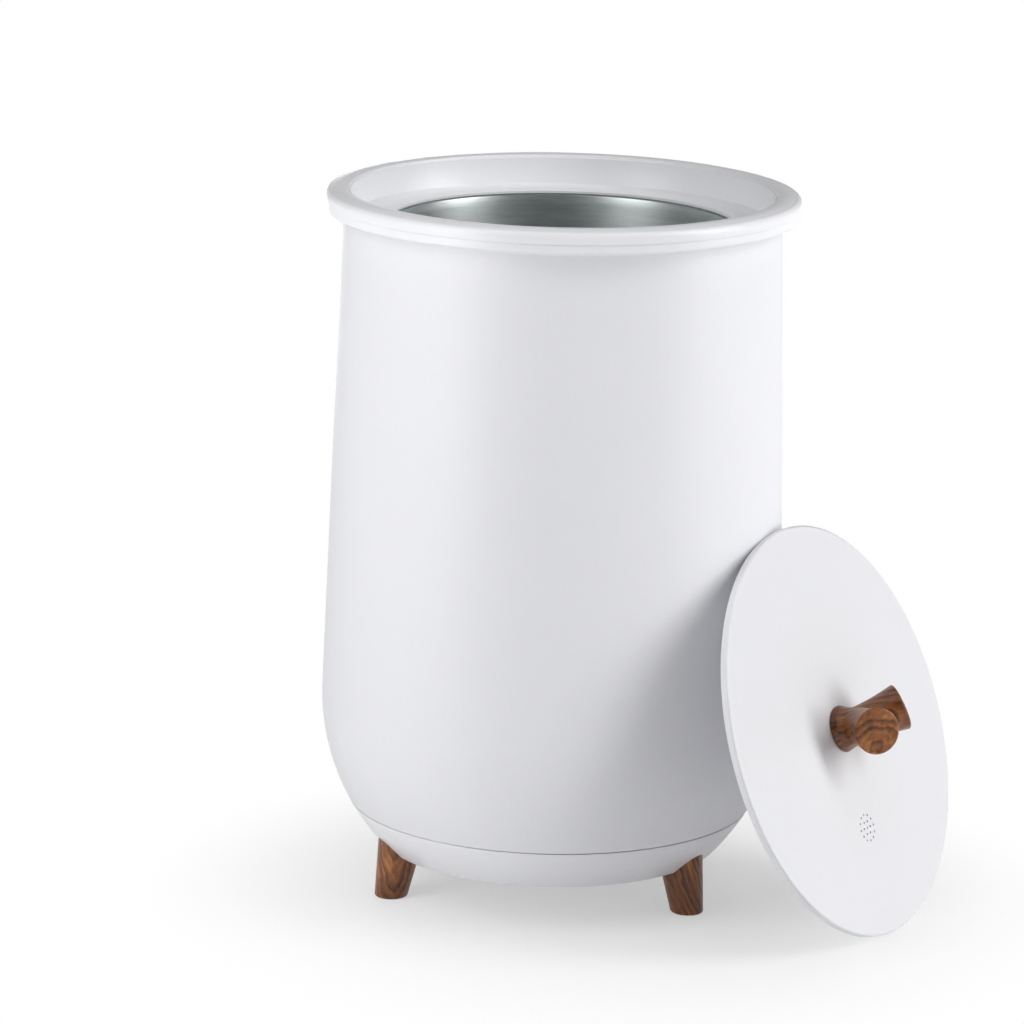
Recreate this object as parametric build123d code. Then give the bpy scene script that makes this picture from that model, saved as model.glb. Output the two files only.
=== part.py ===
from build123d import *
from math import acos, atan2, cos, hypot, pi, radians, sin, sqrt
import os

# Towel warmer bucket: a tapered white body on three splayed wooden pegs, with a metal pot inside,
# a ring of buttons and lights low on the base, and a round lid that leans beside the body.
# Millimetres. The origin is on the floor, on the body's axis. +Z is up and the control panel faces -Y.

# Rim: upper ring with crown, recess and ledge, over a collar that continues the shell's wall.
rim_radius = 170.0
rim_height = 513.5          # crown above the floor
rim_wall = 2.4
rim_ring_height = 10.1      # from the step line up to the crown
rim_edge_round = 4.0
rim_inner_round = 1.5
crown_width = 13.0          # from the outer rounding to the inner one
crown_drop = 1.2            # the crown falls this much towards its outer edge
crown_inner_drop = 0.4      # and this much towards the recess
recess_depth = 21.9         # from the crown down to the ledge on which the lid seats
recess_draft = 0.6
ledge_width = 27.3
ledge_thickness = 2.4
ledge_chamfer = 0.8
collar_inset = 0.7          # the collar stands back from the ring's wall
collar_wall_height = 6.7    # from the step line down to the collar's underside
collar_edge_round = 2.0
collar_fillet = 3.0         # between the underside and the neck below it
hook_depth = 4.2            # how far the collar's hook reaches down inside the shell
hook_draft = 0.1            # the hook narrows this much inside the shell
web_thickness = 2.6
rim_screw_offset = 8.0      # of the screws' circle from the pot's flange
rim_screw_count = 6
rim_boss_radius = 4.5

# Pot
ledge_overhang = 1.1        # the pot's wall stands this far outside the ledge's edge, seen from above
pot_wall = 1.2
pot_floor = 74.0            # inside floor
pot_corner = 14.0
pot_flange_width = 15.5
pot_flange_seat = 10.0      # how far the flange lies on the collar's web
gasket_thickness = 1.2
gasket_inset = 1.6

rim_step = rim_height - rim_ring_height
ledge_height = rim_height - recess_depth
recess_radius = rim_radius - crown_width - rim_edge_round - rim_inner_round
recess_foot = recess_radius - recess_draft
ledge_inner_radius = recess_foot - ledge_width
pot_radius = ledge_inner_radius - ledge_overhang
pot_flange_radius = pot_radius + pot_flange_width
rim_screw_circle = pot_flange_radius + rim_screw_offset
web_inner_radius = pot_flange_radius - pot_flange_seat
web_top = ledge_height - ledge_thickness - gasket_thickness - pot_wall
web_bottom = web_top - web_thickness

# Body outline: a tapered wall that runs tangent into one large arc, which the base ring continues.
belly_radius = 167.4        # widest radius of the body
belly_height = 142.5        # height of the arc's centre
belly_arc = 160.0           # radius of the arc in section
rim_overhang = 12.9         # the rim stands this far out over the shell's top
shell_wall = 2.5
seam_height = 64.0          # the shell stands on the base ring here
seam_gap = 0.8              # shadow gap that shows as the seam line

shell_top = web_bottom
shell_top_radius = rim_radius - rim_overhang
belly_centre = belly_radius - belly_arc

# Heater and insulation
heater_thickness = 1.8
heater_bottom = 120.0
heater_top_drop = 54.2      # below the shell's top
heater_slit = 8.0
insulation_thickness = 9.0
insulation_bottom = 106.0
insulation_top_drop = 18.2  # below the shell's top
wrap_clearance = 0.2        # between wrapped layers

# Base ring
base_bottom = 31.0
base_wall = 3.0
base_corner = 7.0
spigot_height = 7.0
spigot_thinning = 0.5       # the spigot is this much thinner than the wall
plate_margin = 23.2         # from the base's corner in to the bottom plate's edge
plate_thickness = 3.0
plate_chamfer = 0.5
plate_ledge_width = 8.3
plate_ledge_thickness = 2.5
plate_shoulder_width = 3.2
plate_screw_margin = 4.0    # of the screws' circle from the plate's edge
plate_screw_count = 6
plate_boss_radius = 3.6
plate_boss_height = 6.0
slot_count = 10
slot_length = 26.0
slot_width = 4.0
slot_circle_ratio = 0.604   # of the plate's radius

base_foot_radius = belly_centre + sqrt(
    (belly_arc - base_corner) ** 2 - (belly_height - base_bottom - base_corner) ** 2
)
plate_radius = base_foot_radius - plate_margin
plate_screw_circle = plate_radius - plate_screw_margin
slot_circle = plate_radius * slot_circle_ratio

# Feet
foot_count = 3
foot_stand_out = 5.3        # the feet's circle on the floor, outside the base's flat bottom
foot_circle = base_foot_radius + foot_stand_out
foot_splay = 10.0           # degrees
foot_bottom_radius = 11.8
foot_top_radius = 17.2
foot_top = 50.0
foot_edge_round = 1.8
foot_socket_wall = 3.2
foot_socket_roof = 5.0
foot_bolt_radius = 3.0
foot_bolt_end = 26.0
foot_bolt_head_radius = 5.5
foot_bolt_head_height = 4.0
foot_bore_spare = 2.0       # depth of the peg's bore past the bolt's tip
foot_washer_radius = 8.0
foot_washer_thickness = 1.2

# Support under the pot
support_thickness = 1.5
support_margin = 2.5        # its flange reaches this far outside the feet's circle
support_rise_margin = 29.5  # its raised seat starts this far inside the feet's circle
support_rise_run = 5.0
support_seat_width = 22.0
support_notch_width = 108.0
support_notch_depth = 24.0  # leaves room for the control board
pad_thickness = 1.0
pad_inset = 2.0             # from the raised seat's edge
pad_width = 16.0

support_radius = foot_circle + support_margin
support_riser_radius = foot_circle - support_rise_margin
support_top_radius = support_riser_radius - support_rise_run
support_hole_radius = support_top_radius - support_seat_width
pad_outer_radius = support_top_radius - pad_inset
pad_inner_radius = pad_outer_radius - pad_width
pad_bottom = pot_floor - pot_wall - pad_thickness

# Thermostat and thermal fuse under the pot
thermostat_radius = 8.5
thermostat_height = 5.0
thermostat_flange_radius = 12.0
thermostat_flange = 1.0
thermostat_tab = (1.0, 6.0, 6.0)
thermostat_tab_spacing = 8.0
thermostat_place = (34.0, 10.0)
fuse_radius = 2.2
fuse_length = 24.0
fuse_place = (-22.0, 24.0)
clip_thickness = 0.8
clip_width = 7.0
clip_tab = 5.0

# Control panel, in its own plane: x to the right, y up the band, z outward
panel_drop = 15.0           # of the panel's centre below the seam
button_spacing = 72.0
button_y = -1.0
button_length = 24.0
button_width = 14.0
button_proud = 0.8
button_flange = 1.3
button_flange_thickness = 1.2
button_flange_depth = 11.4  # below the panel's centre
button_edge_round = 0.6
light_pitch = 9.6
light_radius = 2.1
time_row_y = 3.6
heat_row_y = -7.0
time_light_count = 4
heat_light_count = 3
light_proud = 0.15
board_depth = 16.0          # front face below the panel's centre
board_thickness = 1.6
board_length = 90.0
board_height = 26.0
board_hole_x = 20.0
board_hole_y = 9.5
board_boss_radius = 2.9
board_screw_radius = 1.25
board_screw_head = 2.5
board_screw_head_height = 1.5
board_screw_bite = 6.0
led_size = (2.0, 1.6, 0.8)
switch_size = 6.0
switch_height = 2.0
switch_cap_radius = 1.7
switch_cap_height = 0.4
relay_size = (19.0, 15.0, 10.0)
relay_x = -32.0
capacitor_radius = 4.0
capacitor_height = 9.0
capacitor_x = (6.0, 32.0)

panel_height = seam_height - panel_drop

# Bushing for the mains lead
gland_azimuth = 150.0
gland_bore_radius = 3.6
gland_body_radius = 6.4
gland_flange_radius = 8.4
gland_flange = 2.0
gland_seat_clearance = 0.35
gland_front_gap = 0.1       # the ring's wall curves, so the front flange touches it only at two sides

# Lid, in its own plane: z out of its top face, y up when it leans
lid_side_gap = 1.9          # to the recess, at the ledge
lid_thickness = 6.0
lid_skin = 2.6
lid_skirt = 2.4
lid_edge_round = 1.8
lid_back_chamfer = 0.6
liner_thickness = 2.0
liner_ring_gap = 2.5        # to the pot's wall when the lid is on
liner_ring_wall = 2.4
liner_ring_depth = 6.0
seal_thickness = 2.0
seal_height = 3.0
lid_screw_offset = 11.0     # of the screws' circle from the liner's ring
lid_screw_count = 6
lid_screw_radius = 1.4
lid_screw_head_radius = 2.8
lid_screw_head_height = 1.6
lid_boss_radius = 4.5
boss_root = 0.5             # depth by which a boss is rooted in its skin
pilot_skin = 1.2            # material left over the blind end of a screw's hole

lid_radius = recess_foot - lid_side_gap
liner_ring_radius = pot_radius - liner_ring_gap
lid_screw_circle = liner_ring_radius + lid_screw_offset
vent_place = (-4.0, -72.6)
vent_radius = 0.85
vent_ring_pitch = 4.75
vent_rings = 2
vent_window_radius = 13.0
scent_radius = 17.0
scent_lip = 2.0
scent_wall = 1.6
scent_depth = 8.0
scent_slot_count = 6
scent_slot_width = 2.4
scent_slot_margin = 3.0     # the slots stop this far inside the cup's side

# Lid leaning at rest beside the body
lid_lean = 20.3             # degrees from upright
lid_facing = 95.7           # azimuth that its top face looks along
lid_side_shift = 34.0       # its centre stands this far to one side of the body's axis
lean_clearance = 0.3

# Handle: a low stem that carries a forked bar, whose two limbs spread away from the lid
stem_base_radius = 16.9
stem_base_edge = 1.0
stem_top_radius = 15.3
stem_height = 5.0           # the fork's root stands on the stem here
fork_height = 13.9          # where the limbs' axes meet, above the lid
limb_length = 34.0          # from there to the flat end
limb_spread = 40.0          # degrees from the stem's axis
limb_end_radius = 16.9
limb_waist_radius = 13.6
limb_edge_round = 1.6
fork_turn = 11.0            # degrees from level
handle_screw_radius = 2.5
handle_screw_bite = 20.0
handle_head_radius = 4.8
handle_head_height = 3.0
handle_washer_radius = 8.0
handle_washer_thickness = 1.2

# Fits
seat_clearance = 0.3        # between moulded pieces
button_clearance = 0.3      # around each button
light_clearance = 0.15      # around each light pipe
hole_clearance = 0.3        # around a screw in a through hole
thread_clearance = 0.05     # around a screw in its own thread
screw_tip_gap = 0.4         # between a screw's tip and the end of its hole
small_screw_radius = 1.5
small_head_radius = 3.0
small_head_height = 2.0
head_chamfer_ratio = 0.3    # of a screw head's height
driver_width_ratio = 0.25   # of a screw head's height, for its cross recess
driver_depth_ratio = 0.4
driver_length_ratio = 1.2   # of a screw head's radius

arc_middle = sqrt(0.5)      # of a quarter arc's radius, to the point half way round it


def profile_face(*edges):
    """Face in the XZ plane from edges drawn with x as radius and y as height."""
    return Plane.XZ * make_face(Wire(list(edges)) if len(edges) > 1 else edges[0])


def turned(*edges):
    """Solid of revolution about the body's axis."""
    return revolve(profile_face(*edges), Axis.Z)


def turned_polygon(*points):
    return turned(Polyline(*points, close=True))


def tube(inner, outer, bottom, top):
    return turned_polygon((inner, bottom), (outer, bottom), (outer, top), (inner, top))


def disc(radius, bottom, top, place=(0, 0)):
    height = top - bottom
    return Pos(place[0], place[1], bottom + height / 2) * Cylinder(radius, height)


def on_circle(radius, count, start=0.0):
    """Places evenly round the axis."""
    return [
        (radius * cos(radians(start + 360 * i / count)), radius * sin(radians(start + 360 * i / count)))
        for i in range(count)
    ]


def taper_angle():
    """Angle of the point where the straight wall leaves the belly arc."""
    run = shell_top_radius - belly_centre
    rise = shell_top - belly_height
    return atan2(rise, run) - acos(belly_arc / hypot(run, rise))


def belly_point(angle, inset=0.0):
    reach = belly_arc - inset
    return (belly_centre + reach * cos(angle), belly_height + reach * sin(angle))


def belly_angle_at(height, inset=0.0):
    return -acos(sqrt((belly_arc - inset) ** 2 - (belly_height - height) ** 2) / (belly_arc - inset))


def body_radius(height):
    """Outer radius of the body at a height."""
    lean = taper_angle()
    tangent = belly_point(lean)
    if height > tangent[1]:
        return tangent[0] - (height - tangent[1]) * sin(lean) / cos(lean)
    return belly_point(belly_angle_at(height))[0]


def belly_arc_between(high, low, inset=0.0):
    """Arc of the belly between two angles, drawn from the first to the second."""
    return ThreePointArc(
        belly_point(high, inset), belly_point((high + low) / 2, inset), belly_point(low, inset)
    )


def outer_shell():
    lean = taper_angle()
    outer_seam = belly_angle_at(seam_height)
    inner_seam = belly_angle_at(seam_height, shell_wall)
    top_outer = (shell_top_radius, shell_top)
    top_inner = (shell_top_radius - shell_wall / cos(lean), shell_top)
    return turned(
        Line(top_inner, top_outer),
        Line(top_outer, belly_point(lean)),
        belly_arc_between(lean, outer_seam),
        Line(belly_point(outer_seam), belly_point(inner_seam, shell_wall)),
        belly_arc_between(inner_seam, lean, shell_wall),
        Line(belly_point(lean, shell_wall), top_inner),
    )


def rim_ring():
    """Crowned edge, recess wall and ledge, of one wall thickness throughout."""
    ledge_under = ledge_height - ledge_thickness
    ledge_edge = ledge_inner_radius + ledge_chamfer
    crown_outer = rim_radius - rim_edge_round
    crown_inner = recess_radius + 2 * crown_drop
    crown_edge = rim_height - crown_drop
    inner_edge = rim_height - crown_inner_drop
    wall_top = inner_edge - rim_inner_round
    round_start = crown_edge - rim_edge_round
    fold = rim_edge_round - rim_wall
    outside = (
        Line((rim_radius, rim_step), (rim_radius, round_start)),
        ThreePointArc(
            (rim_radius, round_start),
            (crown_outer + rim_edge_round * arc_middle, round_start + rim_edge_round * arc_middle),
            (crown_outer, crown_edge),
        ),
        ThreePointArc(
            (crown_outer, crown_edge),
            ((crown_outer + crown_inner) / 2, rim_height),
            (crown_inner, inner_edge),
        ),
        ThreePointArc(
            (crown_inner, inner_edge),
            (recess_radius + crown_drop / 2, inner_edge - rim_inner_round / 2),
            (recess_radius, wall_top),
        ),
        Line((recess_radius, wall_top), (recess_foot, ledge_height)),
        Line((recess_foot, ledge_height), (ledge_edge, ledge_height)),
        Line((ledge_edge, ledge_height), (ledge_inner_radius, ledge_height - ledge_chamfer)),
        Line((ledge_inner_radius, ledge_height - ledge_chamfer), (ledge_inner_radius, ledge_under)),
    )
    hollow_top = (recess_radius + rim_wall, wall_top - rim_wall)
    hollow_edge = (crown_outer - rim_wall / 2, crown_edge - rim_wall)
    inside = (
        Line((ledge_inner_radius, ledge_under), (recess_foot + rim_wall, ledge_under)),
        Line((recess_foot + rim_wall, ledge_under), hollow_top),
        Line(hollow_top, hollow_edge),
        Line(hollow_edge, (crown_outer + fold, round_start)),
        Line((crown_outer + fold, round_start), (rim_radius - rim_wall, rim_step)),
        Line((rim_radius - rim_wall, rim_step), (rim_radius, rim_step)),
    )
    ring = turned(*outside, *inside)
    for place in on_circle(rim_screw_circle, rim_screw_count):
        ring += disc(rim_boss_radius, web_top, ledge_under + boss_root, place)
        ring -= disc(small_screw_radius + thread_clearance, web_top, ledge_height - pilot_skin, place)
    return ring


def rim_collar():
    """Continues the shell's wall up to the ring, hooks inside it and carries the pot's flange."""
    outer = rim_radius - collar_inset
    wall_inner = outer - rim_wall
    under = rim_step - collar_wall_height
    top = under + rim_wall
    neck_top = under - collar_fillet
    neck_outer = body_radius(neck_top)
    neck_inner = recess_radius + rim_wall + seat_clearance
    hook_outer = shell_top_radius - shell_wall - seat_clearance - hook_draft
    hook_inner = hook_outer - rim_wall
    hook_bottom = shell_top - hook_depth
    edge_bend = (1 - arc_middle) * collar_edge_round
    fillet_bend = (1 - arc_middle) * collar_fillet
    profile = (
        Line((outer, under + collar_edge_round), (outer, rim_step)),
        Line((outer, rim_step), (wall_inner, rim_step)),
        Line((wall_inner, rim_step), (wall_inner, top)),
        Line((wall_inner, top), (neck_inner, top)),
        Line((neck_inner, top), (neck_inner, web_top)),
        Line((neck_inner, web_top), (web_inner_radius, web_top)),
        Line((web_inner_radius, web_top), (web_inner_radius, web_bottom)),
        Line((web_inner_radius, web_bottom), (hook_inner, web_bottom)),
        Line((hook_inner, web_bottom), (hook_inner, hook_bottom)),
        Line((hook_inner, hook_bottom), (hook_outer, hook_bottom)),
        Line((hook_outer, hook_bottom), (hook_outer, web_bottom)),
        Line((hook_outer, web_bottom), (shell_top_radius, web_bottom)),
        Line((shell_top_radius, web_bottom), (neck_outer, neck_top)),
        ThreePointArc(
            (neck_outer, neck_top),
            (neck_outer + fillet_bend, under - fillet_bend),
            (neck_outer + collar_fillet, under),
        ),
        Line((neck_outer + collar_fillet, under), (outer - collar_edge_round, under)),
        ThreePointArc(
            (outer - collar_edge_round, under),
            (outer - edge_bend, under + edge_bend),
            (outer, under + collar_edge_round),
        ),
    )
    collar = turned(*profile)
    for place in on_circle(rim_screw_circle, rim_screw_count):
        collar -= disc(small_screw_radius + hole_clearance, web_bottom, web_top, place)
    return collar


def pan_screw(shank_radius, head_radius, head_height, length):
    """Screw pointing up: its head's top face on z = 0 and its shank above."""
    screw = disc(head_radius, -head_height, 0)
    screw = chamfer(screw.faces().sort_by(Axis.Z)[0].edges(), head_height * head_chamfer_ratio)
    screw += disc(shank_radius, 0, length)
    reach = head_radius * driver_length_ratio
    width = head_height * driver_width_ratio
    depth = 2 * head_height * driver_depth_ratio
    slot = Pos(0, 0, -head_height) * Box(reach, width, depth)
    cross = Pos(0, 0, -head_height) * Box(width, reach, depth)
    return screw - slot - cross


def rim_screws():
    length = ledge_height - pilot_skin - screw_tip_gap - web_bottom
    screw = pan_screw(small_screw_radius, small_head_radius, small_head_height, length)
    places = on_circle(rim_screw_circle, rim_screw_count)
    return [Pos(x, y, web_bottom) * screw for x, y in places]


def inner_pot():
    inner_bend = (pot_radius - pot_corner, pot_floor + pot_corner)
    inner_reach = pot_corner * arc_middle
    outer_reach = (pot_corner + pot_wall) * arc_middle
    flange_top = web_top + pot_wall
    pot_bottom = pot_floor - pot_wall
    outer = pot_radius + pot_wall
    return turned(
        Line((0, pot_floor), (inner_bend[0], pot_floor)),
        ThreePointArc(
            (inner_bend[0], pot_floor),
            (inner_bend[0] + inner_reach, inner_bend[1] - inner_reach),
            (pot_radius, inner_bend[1]),
        ),
        Line((pot_radius, inner_bend[1]), (pot_radius, flange_top)),
        Line((pot_radius, flange_top), (pot_flange_radius, flange_top)),
        Line((pot_flange_radius, flange_top), (pot_flange_radius, web_top)),
        Line((pot_flange_radius, web_top), (outer, web_top)),
        Line((outer, web_top), (outer, inner_bend[1])),
        ThreePointArc(
            (outer, inner_bend[1]),
            (inner_bend[0] + outer_reach, inner_bend[1] - outer_reach),
            (inner_bend[0], pot_bottom),
        ),
        Line((inner_bend[0], pot_bottom), (0, pot_bottom)),
        Line((0, pot_bottom), (0, pot_floor)),
    )


def pot_gasket():
    bottom = web_top + pot_wall
    return tube(ledge_inner_radius + gasket_inset, pot_flange_radius, bottom, bottom + gasket_thickness)


def heating_band():
    """Film heater wrapped round the pot, with a slit where its two ends meet."""
    inner = pot_radius + pot_wall + wrap_clearance
    heater_top = shell_top - heater_top_drop
    band = tube(inner, inner + heater_thickness, heater_bottom, heater_top)
    reach = inner + heater_thickness
    height = heater_top - heater_bottom
    slit = Pos(reach, 0, heater_bottom + height / 2) * Box(reach, heater_slit, height)
    return band - slit


def insulation_sleeve():
    inner = pot_radius + pot_wall + heater_thickness + 2 * wrap_clearance
    return tube(inner, inner + insulation_thickness, insulation_bottom, shell_top - insulation_top_drop)


def base_outline(inset):
    """Centre, angle and arc of the corner between the base ring's side and its flat bottom."""
    corner = (base_foot_radius, base_bottom + base_corner)
    turn = atan2(corner[1] - belly_height, corner[0] - belly_centre)
    middle = (turn - pi / 2) / 2
    bend = base_corner - inset
    return corner, turn, ThreePointArc(
        belly_point(turn, inset),
        (corner[0] + bend * cos(middle), corner[1] + bend * sin(middle)),
        (corner[0], corner[1] - bend),
    )


foot_tilt = radians(foot_splay)
foot_socket_top = foot_top + seat_clearance + foot_socket_roof
foot_azimuths = [90.0 + 360.0 * i / foot_count for i in range(foot_count)]


def foot_reach(height):
    """Distance of a foot's own axis from the body's axis at a height."""
    return foot_circle - height * sin(foot_tilt) / cos(foot_tilt)


def foot_cone(grow, low, high):
    """Cone along the foot's leaning axis, grown all round, from one height to another."""
    length = (high - low) / cos(foot_tilt)
    flare = (foot_top_radius - foot_bottom_radius) / foot_top
    bottom = foot_bottom_radius + flare * low + grow
    top = foot_bottom_radius + flare * high + grow
    cone = Cone(bottom, top, length, align=(Align.CENTER, Align.CENTER, Align.MIN))
    return Pos(foot_reach(low), 0, low) * Rot(0, -foot_splay, 0) * cone


def slab(low, high):
    size = 2 * rim_radius
    return Pos(0, 0, (low + high) / 2) * Box(size, size, high - low)


def foot_blank(grow, low, high):
    """The foot's cone cut level at both heights."""
    run_out = foot_top_radius
    return foot_cone(grow, low - run_out, high + run_out) & slab(low, high)


bolt_reach = foot_reach((foot_top + foot_bolt_end) / 2)


def foot():
    peg = foot_blank(0, 0, foot_top)
    peg = fillet(peg.faces().sort_by(Axis.Z)[0].edges(), foot_edge_round)
    bore_end = foot_bolt_end - foot_bore_spare
    bore = disc(foot_bolt_radius + thread_clearance, bore_end, foot_top, (bolt_reach, 0))
    return peg - bore


def base_envelope(top):
    """Solid inside the base ring's outer skin up to a height."""
    corner, turn, corner_arc = base_outline(0)
    seam = belly_angle_at(top)
    return turned(
        Line((0, top), belly_point(seam)),
        belly_arc_between(seam, turn),
        corner_arc,
        Line((corner[0], base_bottom), (0, base_bottom)),
        Line((0, base_bottom), (0, top)),
    )


panel_tilt = -belly_angle_at(panel_height)
panel_normal = (0, -cos(panel_tilt), -sin(panel_tilt))
panel_origin = (0, -body_radius(panel_height), panel_height)
panel_plane = Plane(origin=panel_origin, x_dir=(1, 0, 0), z_dir=panel_normal)
button_places = [(-button_spacing / 2, button_y), (button_spacing / 2, button_y)]


def row_places(count, y):
    return [((i - (count - 1) / 2) * light_pitch, y) for i in range(count)]


light_places = row_places(time_light_count, time_row_y) + row_places(heat_light_count, heat_row_y)
board_holes = [(x * board_hole_x, y * board_hole_y) for x in (-1, 1) for y in (-1, 1)]


def in_panel(shape, place, depth=0.0):
    """Puts a shape that was made about the origin at a place of the panel, below its plane."""
    return panel_plane.location * Pos(place[0], place[1], -depth) * shape


def gland_plane():
    height = panel_height
    tilt = panel_tilt
    turn = radians(gland_azimuth)
    out = (cos(turn) * cos(tilt), sin(turn) * cos(tilt), -sin(tilt))
    reach = body_radius(height)
    side = (-sin(turn), cos(turn), 0)
    return Plane(origin=(reach * cos(turn), reach * sin(turn), height), x_dir=side, z_dir=out)


def base_ring():
    """Curved skin with a spigot for the shell, foot sockets, panel holes and screw bosses."""
    corner, turn, corner_arc = base_outline(0)
    inner_corner, inner_turn, inner_arc = base_outline(base_wall)
    floor = base_bottom + base_wall
    seam = belly_angle_at(seam_height - seam_gap)
    shell_inner = belly_point(belly_angle_at(seam_height, shell_wall), shell_wall)[0]
    spigot_outer = shell_inner - seat_clearance
    spigot_inner = spigot_outer - base_wall + spigot_thinning
    inner_seam = -acos((spigot_inner - belly_centre) / (belly_arc - base_wall))
    bearing = shell_inner + shell_wall / 2
    spigot_top = seam_height + spigot_height
    rebate = plate_radius + seat_clearance
    ledge_inner = plate_radius - plate_ledge_width
    ledge_top = floor + plate_ledge_thickness
    shoulder = rebate + plate_shoulder_width
    ring = turned(
        belly_arc_between(seam, turn),
        corner_arc,
        Line((corner[0], base_bottom), (rebate, base_bottom)),
        Line((rebate, base_bottom), (rebate, floor)),
        Line((rebate, floor), (ledge_inner, floor)),
        Line((ledge_inner, floor), (ledge_inner, ledge_top)),
        Line((ledge_inner, ledge_top), (shoulder, ledge_top)),
        Line((shoulder, ledge_top), (shoulder, floor)),
        Line((shoulder, floor), (inner_corner[0], floor)),
        inner_arc,
        belly_arc_between(inner_turn, inner_seam, base_wall),
        Line(belly_point(inner_seam, base_wall), (spigot_inner, spigot_top)),
        Line((spigot_inner, spigot_top), (spigot_outer, spigot_top)),
        Line((spigot_outer, spigot_top), (spigot_outer, seam_height)),
        Line((spigot_outer, seam_height), (bearing, seam_height)),
        Line((bearing, seam_height), (bearing, seam_height - seam_gap)),
        Line((bearing, seam_height - seam_gap), belly_point(seam)),
    )
    envelope = base_envelope(foot_socket_top)
    for azimuth in foot_azimuths:
        grow = seat_clearance + foot_socket_wall
        socket = foot_blank(grow, base_bottom, foot_socket_top)
        ring += Rot(0, 0, azimuth) * socket & envelope
    for azimuth in foot_azimuths:
        pocket = foot_blank(seat_clearance, base_bottom - foot_top_radius, foot_top + seat_clearance)
        hole = disc(foot_bolt_radius + hole_clearance, foot_top, foot_socket_top, (bolt_reach, 0))
        ring -= Rot(0, 0, azimuth) * pocket
        ring -= Rot(0, 0, azimuth) * hole
    boss_top = ledge_top + plate_boss_height
    for place in on_circle(plate_screw_circle, plate_screw_count):
        ring += disc(plate_boss_radius, floor, boss_top, place)
        ring -= disc(small_screw_radius + thread_clearance, floor, boss_top - pilot_skin, place)
    panel_skin = base_envelope(seam_height - seam_gap)
    for place in board_holes:
        boss = Cylinder(board_boss_radius, board_depth, align=(Align.CENTER, Align.CENTER, Align.MIN))
        pilot = Cylinder(
            board_screw_radius + thread_clearance,
            board_screw_bite,
            align=(Align.CENTER, Align.CENTER, Align.MIN),
        )
        ring += in_panel(boss, place, board_depth) & panel_skin
        ring -= in_panel(pilot, place, board_depth)
    for place in button_places:
        grow = 2 * button_clearance
        cutter = extrude(SlotOverall(button_length + grow, button_width + grow), board_depth, both=True)
        ring -= in_panel(cutter, place)
    for place in light_places:
        ring -= in_panel(Cylinder(light_radius + light_clearance, 4 * base_wall), place)
    ring -= gland_plane().location * Cylinder(gland_body_radius + light_clearance, 5 * base_wall)
    return ring


def grown_skin(grow):
    """Solid inside the base ring's outer skin moved outwards by a little."""
    turn = base_outline(0)[1]
    seam = belly_angle_at(seam_height - seam_gap)
    outer_seam = belly_point(seam, -grow)
    outer_turn = belly_point(turn, -grow)
    return turned(
        Line((0, outer_seam[1]), outer_seam),
        belly_arc_between(seam, turn, -grow),
        Line(outer_turn, (0, outer_turn[1])),
        Line((0, outer_turn[1]), (0, outer_seam[1])),
    )


def button(place):
    """Cap that follows the band's curve, with a retaining flange and a plunger face behind."""
    slot = SlotOverall(button_length, button_width)
    grow = 2 * (button_clearance + button_flange)
    flange = SlotOverall(button_length + grow, button_width + grow)
    cap = in_panel(extrude(slot, button_flange_depth + base_wall), place, button_flange_depth)
    cap &= grown_skin(button_proud)
    front = cap.faces().sort_by(lambda face: panel_plane.to_local_coords(face.center()).Z)[-1]
    cap = fillet(front.edges(), button_edge_round)
    back_depth = button_flange_depth + button_flange_thickness
    return cap + in_panel(extrude(flange, button_flange_thickness), place, back_depth)


def light_pipes(places):
    depth = board_depth - led_size[2] - seat_clearance
    skin = grown_skin(light_proud)
    pipe = Cylinder(light_radius, depth + base_wall, align=(Align.CENTER, Align.CENTER, Align.MIN))
    return [in_panel(pipe, place, depth) & skin for place in places]


def control_board():
    """Board with its light chips, relay and capacitors."""
    base = (Align.CENTER, Align.CENTER, Align.MIN)
    under = (Align.CENTER, Align.CENTER, Align.MAX)
    board = Box(board_length, board_height, board_thickness, align=under)
    for x, y in board_holes:
        board -= Pos(x, y, 0) * Cylinder(board_screw_radius + hole_clearance, 3 * board_thickness)
    for x, y in light_places:
        board += Pos(x, y, 0) * Box(*led_size, align=base)
    rear = -board_thickness
    board += Pos(relay_x, 0, rear) * Box(*relay_size, align=under)
    for x in capacitor_x:
        board += Pos(x, 0, rear) * Cylinder(capacitor_radius, capacitor_height, align=under)
    return in_panel(board, (0, 0), board_depth)


def tact_switches():
    base = (Align.CENTER, Align.CENTER, Align.MIN)
    switch = Box(switch_size, switch_size, switch_height, align=base)
    switch += Pos(0, 0, switch_height) * Cylinder(switch_cap_radius, switch_cap_height, align=base)
    return [in_panel(switch, place, board_depth) for place in button_places]


def board_screws():
    length = board_thickness + board_screw_bite - screw_tip_gap
    screw = pan_screw(board_screw_radius, board_screw_head, board_screw_head_height, length)
    return [in_panel(screw, place, board_depth + board_thickness) for place in board_holes]


def cord_gland():
    """Rubber bushing: two flanges, with the ring's wall between them, round an open bore."""
    top = gland_flange + gland_front_gap
    bottom = -(base_wall + gland_seat_clearance + gland_flange)
    bush = disc(gland_body_radius, bottom, top)
    bush += disc(gland_flange_radius, gland_front_gap, top)
    bush += disc(gland_flange_radius, bottom, bottom + gland_flange)
    bush -= disc(gland_bore_radius, bottom, top)
    return gland_plane().location * bush


def bottom_plate():
    plate = disc(plate_radius, base_bottom, base_bottom + plate_thickness)
    plate = chamfer(plate.faces().sort_by(Axis.Z)[0].edges(), plate_chamfer)
    for place in on_circle(plate_screw_circle, plate_screw_count):
        plate -= disc(small_screw_radius + hole_clearance, base_bottom, base_bottom + plate_thickness, place)
    slot = extrude(SlotOverall(slot_length, slot_width), plate_thickness)
    for i in range(slot_count):
        plate -= Rot(0, 0, 360 * i / slot_count) * Pos(slot_circle, 0, base_bottom) * slot
    return plate


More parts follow.
